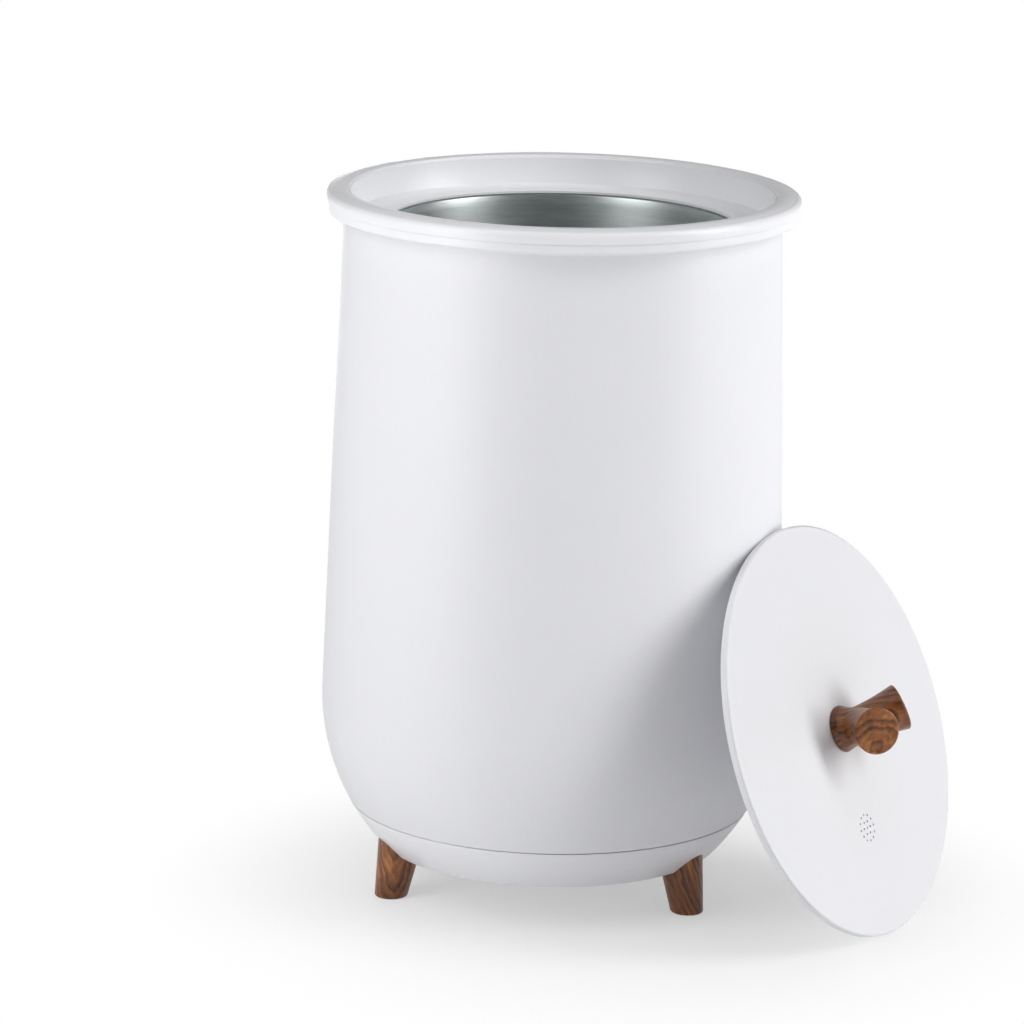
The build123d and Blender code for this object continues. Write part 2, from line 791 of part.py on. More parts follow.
def bottom_plate_screws():
    hole_top = plate_thickness + plate_ledge_thickness + plate_boss_height - pilot_skin
    screw = pan_screw(small_screw_radius, small_head_radius, small_head_height, hole_top - screw_tip_gap)
    places = on_circle(plate_screw_circle, plate_screw_count)
    return [Pos(x, y, base_bottom) * screw for x, y in places]


def pot_support():
    """Pressed steel dish upside down: a flange on the foot sockets and a raised seat under the pot."""
    low = foot_socket_top
    seat_under = pad_bottom - support_thickness
    dish = turned_polygon(
        (support_radius, low),
        (support_radius, low + support_thickness),
        (support_riser_radius + support_thickness, low + support_thickness),
        (support_top_radius + support_thickness, pad_bottom),
        (support_hole_radius, pad_bottom),
        (support_hole_radius, seat_under),
        (support_top_radius, seat_under),
        (support_riser_radius, low),
    )
    for azimuth in foot_azimuths:
        hole = disc(foot_bolt_radius + hole_clearance, low, low + support_thickness, (bolt_reach, 0))
        dish -= Rot(0, 0, azimuth) * hole
    notch_middle = support_notch_depth / 2 - support_radius
    notch = Pos(0, notch_middle, low) * Box(support_notch_width, support_notch_depth, 4 * support_thickness)
    return dish - notch


def pot_pad():
    return tube(pad_inner_radius, pad_outer_radius, pad_bottom, pad_bottom + pad_thickness)


def foot_bolts():
    head_bottom = foot_socket_top + support_thickness + foot_washer_thickness
    head = Pos(0, 0, head_bottom) * extrude(
        RegularPolygon(foot_bolt_head_radius, 6), foot_bolt_head_height
    )
    bolt = head + disc(foot_bolt_radius, foot_bolt_end, head_bottom)
    return [Rot(0, 0, azimuth) * Pos(bolt_reach, 0, 0) * bolt for azimuth in foot_azimuths]


def foot_washers():
    bottom = foot_socket_top + support_thickness
    inner = foot_bolt_radius + thread_clearance
    washer = tube(inner, foot_washer_radius, bottom, bottom + foot_washer_thickness)
    return [Rot(0, 0, azimuth) * Pos(bolt_reach, 0, 0) * washer for azimuth in foot_azimuths]


def thermostat():
    top = pot_floor - pot_wall
    body = disc(thermostat_flange_radius, top - thermostat_flange, top, thermostat_place)
    body += disc(thermostat_radius, top - thermostat_height, top, thermostat_place)
    tab = Box(*thermostat_tab, align=(Align.CENTER, Align.CENTER, Align.MAX))
    for shift in (-thermostat_tab_spacing / 2, thermostat_tab_spacing / 2):
        body += Pos(thermostat_place[0] + shift, thermostat_place[1], top - thermostat_height) * tab
    return body


fuse_height = pot_floor - pot_wall - seat_clearance - fuse_radius


def thermal_fuse():
    return Pos(fuse_place[0], fuse_place[1], fuse_height) * Rot(0, 90, 0) * Cylinder(fuse_radius, fuse_length)


def fuse_clip():
    """Strap round the fuse, with a tab at each side against the pot's bottom."""
    top = pot_floor - pot_wall
    inner = fuse_radius + wrap_clearance
    outer = inner + clip_thickness
    strap = Cylinder(outer, clip_width) - Cylinder(inner, clip_width)
    lower_half = Pos(0, -outer, 0) * Box(2 * outer, 2 * outer, clip_width)
    strap = strap & lower_half
    leg_height = top - fuse_height
    for side in (-1, 1):
        middle = side * (inner + clip_thickness / 2)
        strap += Pos(middle, leg_height / 2, 0) * Box(clip_thickness, leg_height, clip_width)
        tab = Box(clip_tab, clip_thickness, clip_width)
        strap += Pos(side * (inner + clip_tab / 2), leg_height - clip_thickness / 2, 0) * tab
    across = Plane(origin=(fuse_place[0], fuse_place[1], fuse_height), x_dir=(0, 1, 0), z_dir=(1, 0, 0))
    return across.location * strap


def lid_back_gap(distance):
    """Least gap between the lid's back edge and the body, with the lid's centre that far out."""
    least = None
    lean = radians(lid_lean)
    centre_height = lid_rest_height()
    for step in range(-80, 81):
        turn = radians(step / 2)
        side = lid_side_shift + lid_radius * sin(turn)
        up = lid_radius * cos(turn)
        out = distance - lid_thickness * cos(lean) - up * sin(lean)
        height = centre_height - lid_thickness * sin(lean) + up * cos(lean)
        gap = hypot(out, side) - body_radius(height)
        if least is None or gap < least:
            least = gap
    return least


def lid_rest_height():
    """Height of the centre of the top face when the lid's lowest edge is on the floor."""
    lean = radians(lid_lean)
    return lid_radius * cos(lean) + (lid_thickness - lid_back_chamfer) * sin(lean)


def lid_plane():
    """Top face of the leaning lid: it slides in from far out until it is a clearance from the body."""
    near = 0.0
    far = 3 * rim_radius
    for _ in range(40):
        middle = (near + far) / 2
        if lid_back_gap(middle) < lean_clearance:
            near = middle
        else:
            far = middle
    lean = radians(lid_lean)
    face = radians(lid_facing)
    side = (-sin(face), cos(face), 0)
    centre = (
        far * cos(face) + lid_side_shift * side[0],
        far * sin(face) + lid_side_shift * side[1],
        lid_rest_height(),
    )
    out = (cos(face) * cos(lean), sin(face) * cos(lean), sin(lean))
    return Plane(origin=centre, x_dir=side, z_dir=out)


lid_place = lid_plane()


def vent_holes():
    """Holes on rings round one hole, six more on each ring outwards."""
    places = [vent_place]
    for ring_number in range(1, vent_rings + 1):
        for x, y in on_circle(ring_number * vent_ring_pitch, 6 * ring_number):
            places.append((vent_place[0] + x, vent_place[1] + y))
    return places


def lid_panel():
    """Skin with a rounded edge and a skirt, bosses for the liner's screws and the handle's screw."""
    bend = (1 - arc_middle) * lid_edge_round
    inner = lid_radius - lid_skirt
    back_edge = lid_radius - lid_back_chamfer
    panel = turned(
        Line((0, 0), (lid_radius - lid_edge_round, 0)),
        ThreePointArc(
            (lid_radius - lid_edge_round, 0), (lid_radius - bend, -bend), (lid_radius, -lid_edge_round)
        ),
        Line((lid_radius, -lid_edge_round), (lid_radius, -lid_thickness + lid_back_chamfer)),
        Line((lid_radius, -lid_thickness + lid_back_chamfer), (back_edge, -lid_thickness)),
        Line((back_edge, -lid_thickness), (inner, -lid_thickness)),
        Line((inner, -lid_thickness), (inner, -lid_skin)),
        Line((inner, -lid_skin), (0, -lid_skin)),
        Line((0, -lid_skin), (0, 0)),
    )
    liner_top = -lid_thickness + liner_thickness
    for place in on_circle(lid_screw_circle, lid_screw_count):
        panel += disc(lid_boss_radius, liner_top, -lid_skin + boss_root, place)
        panel -= disc(lid_screw_radius + thread_clearance, liner_top, -pilot_skin, place)
    panel += disc(handle_washer_radius, liner_top, -lid_skin + boss_root)
    panel -= disc(handle_screw_radius + hole_clearance, liner_top, 0)
    for place in vent_holes():
        panel -= disc(vent_radius, -lid_skin, 0, place)
    return lid_place.location * panel


def lid_liner():
    """Inner plate with the ring that centres the lid in the pot's mouth and a window for the vents."""
    top = -lid_thickness + liner_thickness
    plate = disc(lid_radius - lid_skirt - seat_clearance, -lid_thickness, top)
    ring_inner = liner_ring_radius - liner_ring_wall
    ring_bottom = -lid_thickness - liner_ring_depth
    plate += tube(ring_inner, liner_ring_radius, ring_bottom, -lid_thickness + boss_root)
    for place in on_circle(lid_screw_circle, lid_screw_count):
        plate -= disc(lid_screw_radius + hole_clearance, -lid_thickness, top, place)
    plate -= disc(handle_screw_radius + hole_clearance, -lid_thickness, top)
    plate -= disc(vent_window_radius, -lid_thickness, top, vent_place)
    return lid_place.location * plate


def lid_seal():
    inner = liner_ring_radius + wrap_clearance
    seal = tube(inner, inner + seal_thickness, -lid_thickness - seal_height, -lid_thickness)
    return lid_place.location * seal


def lid_screws():
    length = lid_thickness - pilot_skin - screw_tip_gap
    screw = pan_screw(lid_screw_radius, lid_screw_head_radius, lid_screw_head_height, length)
    places = on_circle(lid_screw_circle, lid_screw_count)
    return [lid_place.location * Pos(x, y, -lid_thickness) * screw for x, y in places]


def scent_holder():
    """Shallow slotted cup under the vent holes, with its flange against the liner."""
    under = -lid_thickness
    floor = under - scent_depth
    outer = scent_radius - scent_lip
    inner = outer - scent_wall
    cup = disc(scent_radius, under - scent_wall, under, vent_place)
    cup += disc(outer, floor, under, vent_place)
    cup -= disc(inner, floor + scent_wall, under, vent_place)
    slot = Pos(inner, 0, 0) * Box(inner, scent_slot_width, 2 * scent_wall)
    reach = Cylinder(outer - scent_slot_margin, 2 * scent_wall)
    for i in range(scent_slot_count):
        turn = Rot(0, 0, 360 * i / scent_slot_count)
        cup -= Pos(vent_place[0], vent_place[1], floor) * turn * (slot & reach)
    return lid_place.location * cup


def limb():
    """One limb about the X axis, from its waist at the origin out to a flat end with a soft edge."""
    waist = limb_waist_radius
    end = limb_end_radius
    soft = limb_edge_round
    run = limb_length - soft
    bend = arc_middle * soft
    profile = (
        Line((0, 0), (0, waist)),
        ThreePointArc((0, waist), (run / 2, waist + (end - waist) / 4), (run, end)),
        ThreePointArc((run, end), (run + bend, end - soft + bend), (limb_length, end - soft)),
        Line((limb_length, end - soft), (limb_length, 0)),
        Line((limb_length, 0), (0, 0)),
    )
    return revolve(make_face(Wire(list(profile))), Axis.X)


def handle_bore():
    return disc(handle_screw_radius + thread_clearance, 0, handle_screw_bite + screw_tip_gap)


def handle_bar():
    """Fork: a root drawn in to a waist and two limbs, whose axes meet over the middle of the lid."""
    waist = limb_waist_radius
    root = turned(
        Line((0, stem_height), (stem_top_radius, stem_height)),
        ThreePointArc(
            (stem_top_radius, stem_height),
            (waist + (stem_top_radius - waist) / 4, (stem_height + fork_height) / 2),
            (waist, fork_height),
        ),
        Line((waist, fork_height), (0, fork_height)),
        Line((0, fork_height), (0, stem_height)),
    )
    raised = Rot(0, limb_spread - 90, 0) * limb()
    limbs = Pos(0, 0, fork_height) * Rot(0, 0, fork_turn) * (raised + Rot(0, 0, 180) * raised)
    return lid_place.location * (root + limbs - handle_bore())


def handle_stem():
    stem = turned_polygon(
        (0, 0),
        (stem_base_radius - stem_base_edge, 0),
        (stem_base_radius, stem_base_edge),
        (stem_top_radius, stem_height),
        (0, stem_height),
    )
    return lid_place.location * (stem - handle_bore())


def handle_screw():
    under = -lid_thickness - handle_washer_thickness
    length = handle_screw_bite - under
    screw = pan_screw(handle_screw_radius, handle_head_radius, handle_head_height, length)
    return lid_place.location * Pos(0, 0, under) * screw


def handle_washer():
    under = -lid_thickness - handle_washer_thickness
    washer = tube(handle_screw_radius + hole_clearance, handle_washer_radius, under, -lid_thickness)
    return lid_place.location * washer


pieces = {
    "outer_shell": outer_shell(),
    "rim_ring": rim_ring(),
    "rim_collar": rim_collar(),
    "rim_screws": rim_screws(),
    "inner_pot": inner_pot(),
    "pot_gasket": pot_gasket(),
    "heating_band": heating_band(),
    "insulation_sleeve": insulation_sleeve(),
    "pot_support": pot_support(),
    "pot_pad": pot_pad(),
    "thermostat": thermostat(),
    "thermal_fuse": thermal_fuse(),
    "fuse_clip": fuse_clip(),
    "base_ring": base_ring(),
    "bottom_plate": bottom_plate(),
    "bottom_plate_screws": bottom_plate_screws(),
    "foot_bolts": foot_bolts(),
    "foot_washers": foot_washers(),
    "control_board": control_board(),
    "tact_switches": tact_switches(),
    "board_screws": board_screws(),
    "time_leds": light_pipes(row_places(time_light_count, time_row_y)),
    "heat_leds": light_pipes(row_places(heat_light_count, heat_row_y)),
    "temperature_button": button(button_places[0]),
    "power_button": button(button_places[1]),
    "cord_gland": cord_gland(),
    "lid_panel": lid_panel(),
    "lid_liner": lid_liner(),
    "lid_seal": lid_seal(),
    "lid_screws": lid_screws(),
    "scent_holder": scent_holder(),
    "handle_stem": handle_stem(),
    "handle_bar": handle_bar(),
    "handle_screw": handle_screw(),
    "handle_washer": handle_washer(),
}
for number, azimuth in enumerate(foot_azimuths, start=1):
    pieces[f"foot_{number}"] = Rot(0, 0, azimuth) * foot()

os.makedirs("parts", exist_ok=True)
for name, shape in pieces.items():
    solid = Compound(children=shape) if isinstance(shape, list) else shape
    export_step(solid, f"parts/{name}.step")

print("panel normal", [round(c, 4) for c in panel_normal], "at", [round(c, 2) for c in panel_origin])
print("lid face", [round(c, 4) for c in lid_place.z_dir], "at", [round(c, 2) for c in lid_place.origin])
print("gland", [round(c, 4) for c in gland_plane().z_dir], "at", [round(c, 2) for c in gland_plane().origin])
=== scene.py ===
from math import acos, asin, atan2, cos, degrees, pi, radians, sin, sqrt, tan

import bmesh
import bpy
import numpy as np
from mathutils import Matrix, Vector


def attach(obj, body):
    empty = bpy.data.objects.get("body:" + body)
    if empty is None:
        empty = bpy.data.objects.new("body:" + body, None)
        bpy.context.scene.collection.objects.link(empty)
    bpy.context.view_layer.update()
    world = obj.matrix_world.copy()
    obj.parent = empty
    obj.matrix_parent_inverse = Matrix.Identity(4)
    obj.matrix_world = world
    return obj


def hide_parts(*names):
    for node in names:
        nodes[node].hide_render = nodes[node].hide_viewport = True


# Towel warmer bucket. Sizes in the dictionaries are millimetres, meshes are metres.
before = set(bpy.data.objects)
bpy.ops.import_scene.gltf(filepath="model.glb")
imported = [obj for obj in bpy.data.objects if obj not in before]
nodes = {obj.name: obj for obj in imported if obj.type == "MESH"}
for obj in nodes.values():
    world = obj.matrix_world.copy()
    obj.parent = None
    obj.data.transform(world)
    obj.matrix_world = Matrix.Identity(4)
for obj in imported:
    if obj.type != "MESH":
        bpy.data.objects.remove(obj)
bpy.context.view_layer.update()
print("frame loaded:", len(nodes), "nodes")

mm = 0.001


def addObject(name, data):
    made = bpy.data.objects.new(name, data)
    bpy.context.scene.collection.objects.link(made)
    return made


# Camera, from the fit to the photograph, in the part's own frame
cameraFit = {
    "target": (0.01873, -0.02568, 0.27605),
    "distance": 3.5803,
    "azimuth": 36.1,      # direction from the target to the camera, from +X
    "elevation": 13.418,
    "roll": 1.237,
    "lens": 173.95,
    "sensor": 36,
    "farthest": 50,
}


def aim(azimuth, elevation):
    turn, rise = radians(azimuth), radians(elevation)
    return Vector((cos(turn) * cos(rise), sin(turn) * cos(rise), sin(rise)))


def makeCamera():
    data = bpy.data.cameras.new("camera")
    data.lens = cameraFit["lens"]
    data.sensor_width = cameraFit["sensor"]
    data.clip_end = cameraFit["farthest"]
    camera = addObject("camera", data)
    back = aim(cameraFit["azimuth"], cameraFit["elevation"])
    camera.location = Vector(cameraFit["target"]) + back * cameraFit["distance"]
    facing = (-back).to_track_quat("-Z", "Y").to_matrix()
    roll = Matrix.Rotation(radians(cameraFit["roll"]), 3, "Z")
    camera.rotation_mode = "QUATERNION"
    camera.rotation_quaternion = (facing @ roll).to_quaternion()
    bpy.context.scene.camera = camera


makeCamera()
print("camera placed")


# Mesh helpers
meshValues = {
    "onAxis": 1e-6,      # a profile point nearer to the axis than this is a pole
    "samePoint": 1e-4,   # profile points nearer to each other than this are one
    "weld": 2e-6,        # metres between a solid's points that are merged
    "sliver": 1e-6,      # metres below which an edge is dissolved
    "crease": 32.0,      # degrees at which an edge stays sharp
    "turns": 224,
    "fineTurns": 288,
}


def smoothFaces(mesh, crease):
    mesh.polygons.foreach_set("use_smooth", np.ones(len(mesh.polygons), bool))
    mesh.set_sharp_from_angle(angle=radians(crease))


# Points in millimetres and faces as rows of indices become an object on a body
def putMesh(name, points, faces, body, closed=True):
    mesh = bpy.data.meshes.new(name)
    mesh.from_pydata((np.asarray(points, float) * mm).tolist(), [], [list(f) for f in faces])
    mesh.validate()
    if closed:
        work = bmesh.new()
        work.from_mesh(mesh)
        bmesh.ops.recalc_face_normals(work, faces=work.faces)
        work.to_mesh(mesh)
        work.free()
    smoothFaces(mesh, meshValues["crease"])
    piece = addObject(name, mesh)
    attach(piece, body)
    return piece


# Quads of a grid whose columns close on themselves, and whose rows may too
def gridFaces(rows, columns, wrapRows=False):
    r = np.arange(rows if wrapRows else rows - 1)[:, None]
    c = np.arange(columns)[None, :]
    nextRow, nextColumn = (r + 1) % rows, (c + 1) % columns
    quads = np.stack([r * columns + c, r * columns + nextColumn,
                      nextRow * columns + nextColumn, nextRow * columns + c], -1)
    return quads.reshape(-1, 4).tolist()


# Triangles from a grid's first and last row to two end points that are listed after the grid
def fanFaces(rows, columns):
    first = rows * columns
    last = (rows - 1) * columns
    column = np.arange(columns)
    following = (column + 1) % columns
    starting = np.stack([column * 0 + first, following, column], -1)
    ending = np.stack([column * 0 + first + 1, last + column, last + following], -1)
    return starting.tolist() + ending.tolist()


# Each profile point (radius, height) goes round the axis: x = r cos t, y = r sin t, z = height
def latheGrid(profile, turns):
    t = np.linspace(0, 2 * pi, turns, endpoint=False)
    r, z = profile[:, :1], profile[:, 1:2]
    return np.stack([r * np.cos(t), r * np.sin(t), z + 0 * t], -1)


# Closed solid of revolution. A profile that starts and ends on the axis is closed by poles there.
def lathe(name, profile, body, turns=meshValues["turns"]):
    poles = [p for p in (profile[0], profile[-1]) if p[0] < meshValues["onAxis"]]
    ring = profile[profile[:, 0] >= meshValues["onAxis"]]
    points = latheGrid(ring, turns).reshape(-1, 3)
    faces = gridFaces(len(ring), turns, wrapRows=not poles)
    if poles:
        points = np.vstack([points, [[0, 0, poles[0][1]], [0, 0, poles[-1][1]]]])
        faces += fanFaces(len(ring), turns)
    return putMesh(name, points, faces, body)


# Points on a circle between two angles in degrees
def arc(centre, radius, start, end, count):
    t = np.radians(np.linspace(start, end, count))
    return np.stack([centre[0] + radius * np.cos(t), centre[1] + radius * np.sin(t)], -1)


# One profile from points and arrays of points, without repeated points
def run(*parts):
    rows = np.vstack([np.atleast_2d(np.asarray(p, float)) for p in parts])
    keep = np.r_[True, np.abs(np.diff(rows, axis=0)).max(1) > meshValues["samePoint"]]
    return rows[keep]


# A merged copy of a CAD node's mesh, smooth except at its real edges, stands for the node
def dressCopy(node, body, material, crease=meshValues["crease"]):
    mesh = nodes[node].data.copy()
    mesh.name = node + "_skin"
    work = bmesh.new()
    work.from_mesh(mesh)
    bmesh.ops.remove_doubles(work, verts=work.verts, dist=meshValues["weld"])
    bmesh.ops.dissolve_degenerate(work, edges=work.edges, dist=meshValues["sliver"])
    work.to_mesh(mesh)
    work.free()
    mesh.materials.clear()
    mesh.materials.append(material)
    smoothFaces(mesh, crease)
    piece = addObject(node + "_skin", mesh)
    # large flat faces keep their own normals
    flatten = piece.modifiers.new("flatFaces", "WEIGHTED_NORMAL")
    flatten.keep_sharp = True
    flatten.weight = 100
    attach(piece, body)
    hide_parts(node)
    return piece


def finish(piece, material, slot, *replaced):
    piece.data.materials.clear()
    piece.data.materials.append(material)
    if replaced:
        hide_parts(*replaced)
    return piece


# Node helpers. A noise in the dictionaries below is (scale, detail, roughness).
def addNode(tree, kind, inputs=None, **settings):
    made = tree.nodes.new(kind)
    for key, value in settings.items():
        setattr(made, key, value)
    for key, value in (inputs or {}).items():
        if isinstance(value, bpy.types.NodeSocket):
            tree.links.new(value, made.inputs[key])
        else:
            made.inputs[key].default_value = value
    return made


def maths(tree, operation, first, second=0.0, clamp=False):
    made = addNode(tree, "ShaderNodeMath", {0: first, 1: second}, operation=operation, use_clamp=clamp)
    return made.outputs[0]


def multiplyAdd(tree, value, factor, base):
    made = addNode(tree, "ShaderNodeMath", {0: value, 1: factor, 2: base}, operation="MULTIPLY_ADD")
    return made.outputs[0]


# First value plus each further value times its share
def weighted(tree, first, *others):
    total = first
    for value, share in others:
        total = maths(tree, "ADD", total, maths(tree, "MULTIPLY", value, share))
    return total


def stretch(tree, vector, scale):
    return addNode(tree, "ShaderNodeVectorMath", {0: vector, 1: scale}, operation="MULTIPLY").outputs[0]


def blendColour(tree, factor, first, second):
    made = addNode(tree, "ShaderNodeMix", {0: factor, 6: first, 7: second}, data_type="RGBA")
    return made.outputs[2]


def spread(tree, value, low, high, toLow=0.0, toHigh=1.0):
    made = addNode(tree, "ShaderNodeMapRange", {0: value, 1: low, 2: high, 3: toLow, 4: toHigh})
    return made.outputs[0]


def noise(tree, vector, scale, detail, roughness):
    made = addNode(tree, "ShaderNodeTexNoise",
                   {"Vector": vector, "Scale": scale, "Detail": detail, "Roughness": roughness})
    return made.outputs[0]


# Noise about zero
def swing(tree, vector, scale, detail, roughness, middle=0.5):
    return maths(tree, "SUBTRACT", noise(tree, vector, scale, detail, roughness), middle)


# Node group with named sockets: inputs as (name, type, value), outputs as (name, type)
def newGroup(name, inputs, outputs):
    tree = bpy.data.node_groups.new(name, "ShaderNodeTree")
    for socket, kind, value in inputs:
        made = tree.interface.new_socket(name=socket, in_out="INPUT", socket_type="NodeSocket" + kind)
        if value is not None:
            made.default_value = value
    for socket, kind in outputs:
        tree.interface.new_socket(name=socket, in_out="OUTPUT", socket_type="NodeSocket" + kind)
    return tree, tree.nodes.new("NodeGroupInput").outputs, tree.nodes.new("NodeGroupOutput").inputs


effectOutputs = [("Colour", "Color"), ("Roughness", "Float"), ("Height", "Float")]

plasticEffect = {
    "broad": (14.0, 4.0, 0.55), "specks": (260.0, 2.0, 0.5), "smear": (32.0, 5.0, 0.62), "smearMiddle": 0.45,
    "orange": (120.0, 2.0, 0.5), "grain": (2.0, 0.6), "grainShare": 0.35,
}


# Moulded plastic: faint mottling in the colour, fine grain in the height, handled patches in the gloss
def plasticGroup():
    e = plasticEffect
    tree, given, out = newGroup(
        "mouldedPlastic",
        [("Vector", "Vector", None), ("Colour", "Color", (0.8, 0.8, 0.8, 1)), ("Mottle", "Float", 0.02),
         ("Roughness", "Float", 0.3), ("Smudge", "Float", 0.06), ("Grain Scale", "Float", 900.0)],
        effectOutputs)
    position = given["Vector"]
    shade = maths(tree, "ADD", swing(tree, position, *e["broad"]), swing(tree, position, *e["specks"]))
    lift = multiplyAdd(tree, shade, given["Mottle"], 1.0)
    scaled = addNode(tree, "ShaderNodeVectorMath", {0: given["Colour"], 3: lift}, operation="SCALE")
    tree.links.new(scaled.outputs[0], out["Colour"])
    patch = maths(tree, "MULTIPLY", swing(tree, position, *e["smear"], e["smearMiddle"]), given["Smudge"])
    tree.links.new(maths(tree, "ADD", given["Roughness"], patch, clamp=True), out["Roughness"])
    grain = noise(tree, position, given["Grain Scale"], *e["grain"])
    orange = noise(tree, position, *e["orange"])
    tree.links.new(weighted(tree, orange, (grain, e["grainShare"])), out["Height"])
    return tree


metalEffect = {
    "stretch": (0.03, 0.03, 1.0), "fine": (2600.0, 3.0, 0.65), "fineShare": 0.6,
    "coarse": (420.0, 3.0, 0.55), "coarseShare": 0.4, "patch": (9.0, 3.0, 0.5), "patchShare": 0.25,
    "toneRange": (0.42, 0.84), "lineRange": (0.3, 0.7), "gloss": 0.16,
}


# Metal brushed round the axis: streaks that are short in height and long round, with worn patches
def metalGroup():
    e = metalEffect
    tree, given, out = newGroup(
        "brushedRound",
        [("Vector", "Vector", None), ("Dark", "Color", (0.4, 0.4, 0.4, 1)),
         ("Light", "Color", (0.7, 0.7, 0.7, 1)), ("Roughness", "Float", 0.3)],
        effectOutputs)
    stretched = stretch(tree, given["Vector"], e["stretch"])
    fine = maths(tree, "MULTIPLY", noise(tree, stretched, *e["fine"]), e["fineShare"])
    lines = weighted(tree, fine, (noise(tree, stretched, *e["coarse"]), e["coarseShare"]))
    tone = weighted(tree, lines, (noise(tree, given["Vector"], *e["patch"]), e["patchShare"]))
    colour = blendColour(tree, spread(tree, tone, *e["toneRange"]), given["Dark"], given["Light"])
    tree.links.new(colour, out["Colour"])
    change = spread(tree, lines, *e["lineRange"], -0.5, 0.5)
    tree.links.new(multiplyAdd(tree, change, e["gloss"], given["Roughness"]), out["Roughness"])
    tree.links.new(lines, out["Height"])
    return tree


# Stretches are along the grain (X) and across it; reaches are metres by which the rings bend
woodEffect = {
    "slow": (28.0, 2.0, 0.5), "slowStretch": (0.5, 1.0, 1.0),
    "curl": (85.0, 2.0, 0.5), "curlStretch": (0.55, 1.0, 1.0), "curlReach": 0.0055,
    "waver": (260.0, 3.0, 0.6), "waverReach": 0.0022, "fibreStretch": (0.07, 1.0, 1.0),
    "darkest": 0.70, "palestRing": 0.15, "ringShare": 0.36,
    "streak": (420.0, 4.0, 0.62), "streakShare": 0.62, "fibre": (2300.0, 3.0, 0.6), "fibreShare": 0.20,
    "broad": (60.0, 2.0, 0.55), "broadStretch": (0.4, 1.0, 1.0), "broadShare": 0.62,
    "pores": (3000.0, 2.0, 0.5), "poreStretch": (0.045, 1.0, 1.0), "poreRange": (0.64, 0.74),
    "poreTone": 0.5, "poreGloss": 0.2, "streakGloss": 0.14, "fibreHeight": 0.5,
    "lowTones": (0.68, 1.02), "highTones": (1.02, 1.36),
}


# Walnut: growth rings round the X axis, bent by slow noise, with fibres and pores drawn out along X
def woodGroup():
    e = woodEffect
    tree, given, out = newGroup(
        "walnutGrain",
        [("Vector", "Vector", None), ("Ring Width", "Float", 0.0040), ("Bend", "Float", 0.012),
         ("Dark", "Color", (0.046, 0.014, 0.004, 1)), ("Middle", "Color", (0.235, 0.080, 0.021, 1)),
         ("Light", "Color", (0.56, 0.235, 0.070, 1)), ("Roughness", "Float", 0.38)],
        effectOutputs)
    position = given["Vector"]
    along = stretch(tree, position, e["fibreStretch"])
    fromPith = addNode(tree, "ShaderNodeVectorMath", {0: stretch(tree, position, (0.0, 1.0, 1.0))},
                       operation="LENGTH").outputs["Value"]
    bent = weighted(tree, fromPith,
                    (swing(tree, stretch(tree, position, e["slowStretch"]), *e["slow"]), given["Bend"]),
                    (swing(tree, stretch(tree, position, e["curlStretch"]), *e["curl"]), e["curlReach"]),
                    (swing(tree, along, *e["waver"]), e["waverReach"]))
    count = maths(tree, "DIVIDE", bent, given["Ring Width"])
    phase = maths(tree, "FRACT", count)
    # a ring darkens slowly outwards, then pales again over a short way
    rising, falling = spread(tree, phase, 0.0, e["darkest"]), spread(tree, phase, 1.0, e["darkest"])
    band = maths(tree, "MINIMUM", rising, falling)
    ringTone = addNode(tree, "ShaderNodeTexWhiteNoise", {"W": maths(tree, "FLOOR", count)},
                       noise_dimensions="1D").outputs["Value"]
    band = maths(tree, "MULTIPLY", band, spread(tree, ringTone, 0.0, 1.0, e["palestRing"], 1.0))
    streak = noise(tree, along, *e["streak"])
    fibre = noise(tree, along, *e["fibre"])
    pores = spread(tree, noise(tree, stretch(tree, position, e["poreStretch"]), *e["pores"]), *e["poreRange"])
    broad = noise(tree, stretch(tree, position, e["broadStretch"]), *e["broad"])
    ringPart = maths(tree, "MULTIPLY", maths(tree, "SUBTRACT", 1.0, band), e["ringShare"])
    tone = weighted(tree, ringPart,
                    (streak, e["streakShare"]), (fibre, e["fibreShare"]), (broad, e["broadShare"]))
    colour = blendColour(tree, spread(tree, tone, *e["lowTones"]), given["Dark"], given["Middle"])
    colour = blendColour(tree, spread(tree, tone, *e["highTones"]), colour, given["Light"])
    colour = blendColour(tree, maths(tree, "MULTIPLY", pores, e["poreTone"]), colour, given["Dark"])
    tree.links.new(colour, out["Colour"])
    rough = multiplyAdd(tree, maths(tree, "SUBTRACT", streak, 0.5), e["streakGloss"], given["Roughness"])
    tree.links.new(weighted(tree, rough, (pores, e["poreGloss"])), out["Roughness"])
    relief = maths(tree, "SUBTRACT", maths(tree, "MULTIPLY", fibre, e["fibreHeight"]), pores)
    tree.links.new(relief, out["Height"])
    return tree


groups = {"plastic": plasticGroup(), "metal": metalGroup(), "wood": woodGroup()}


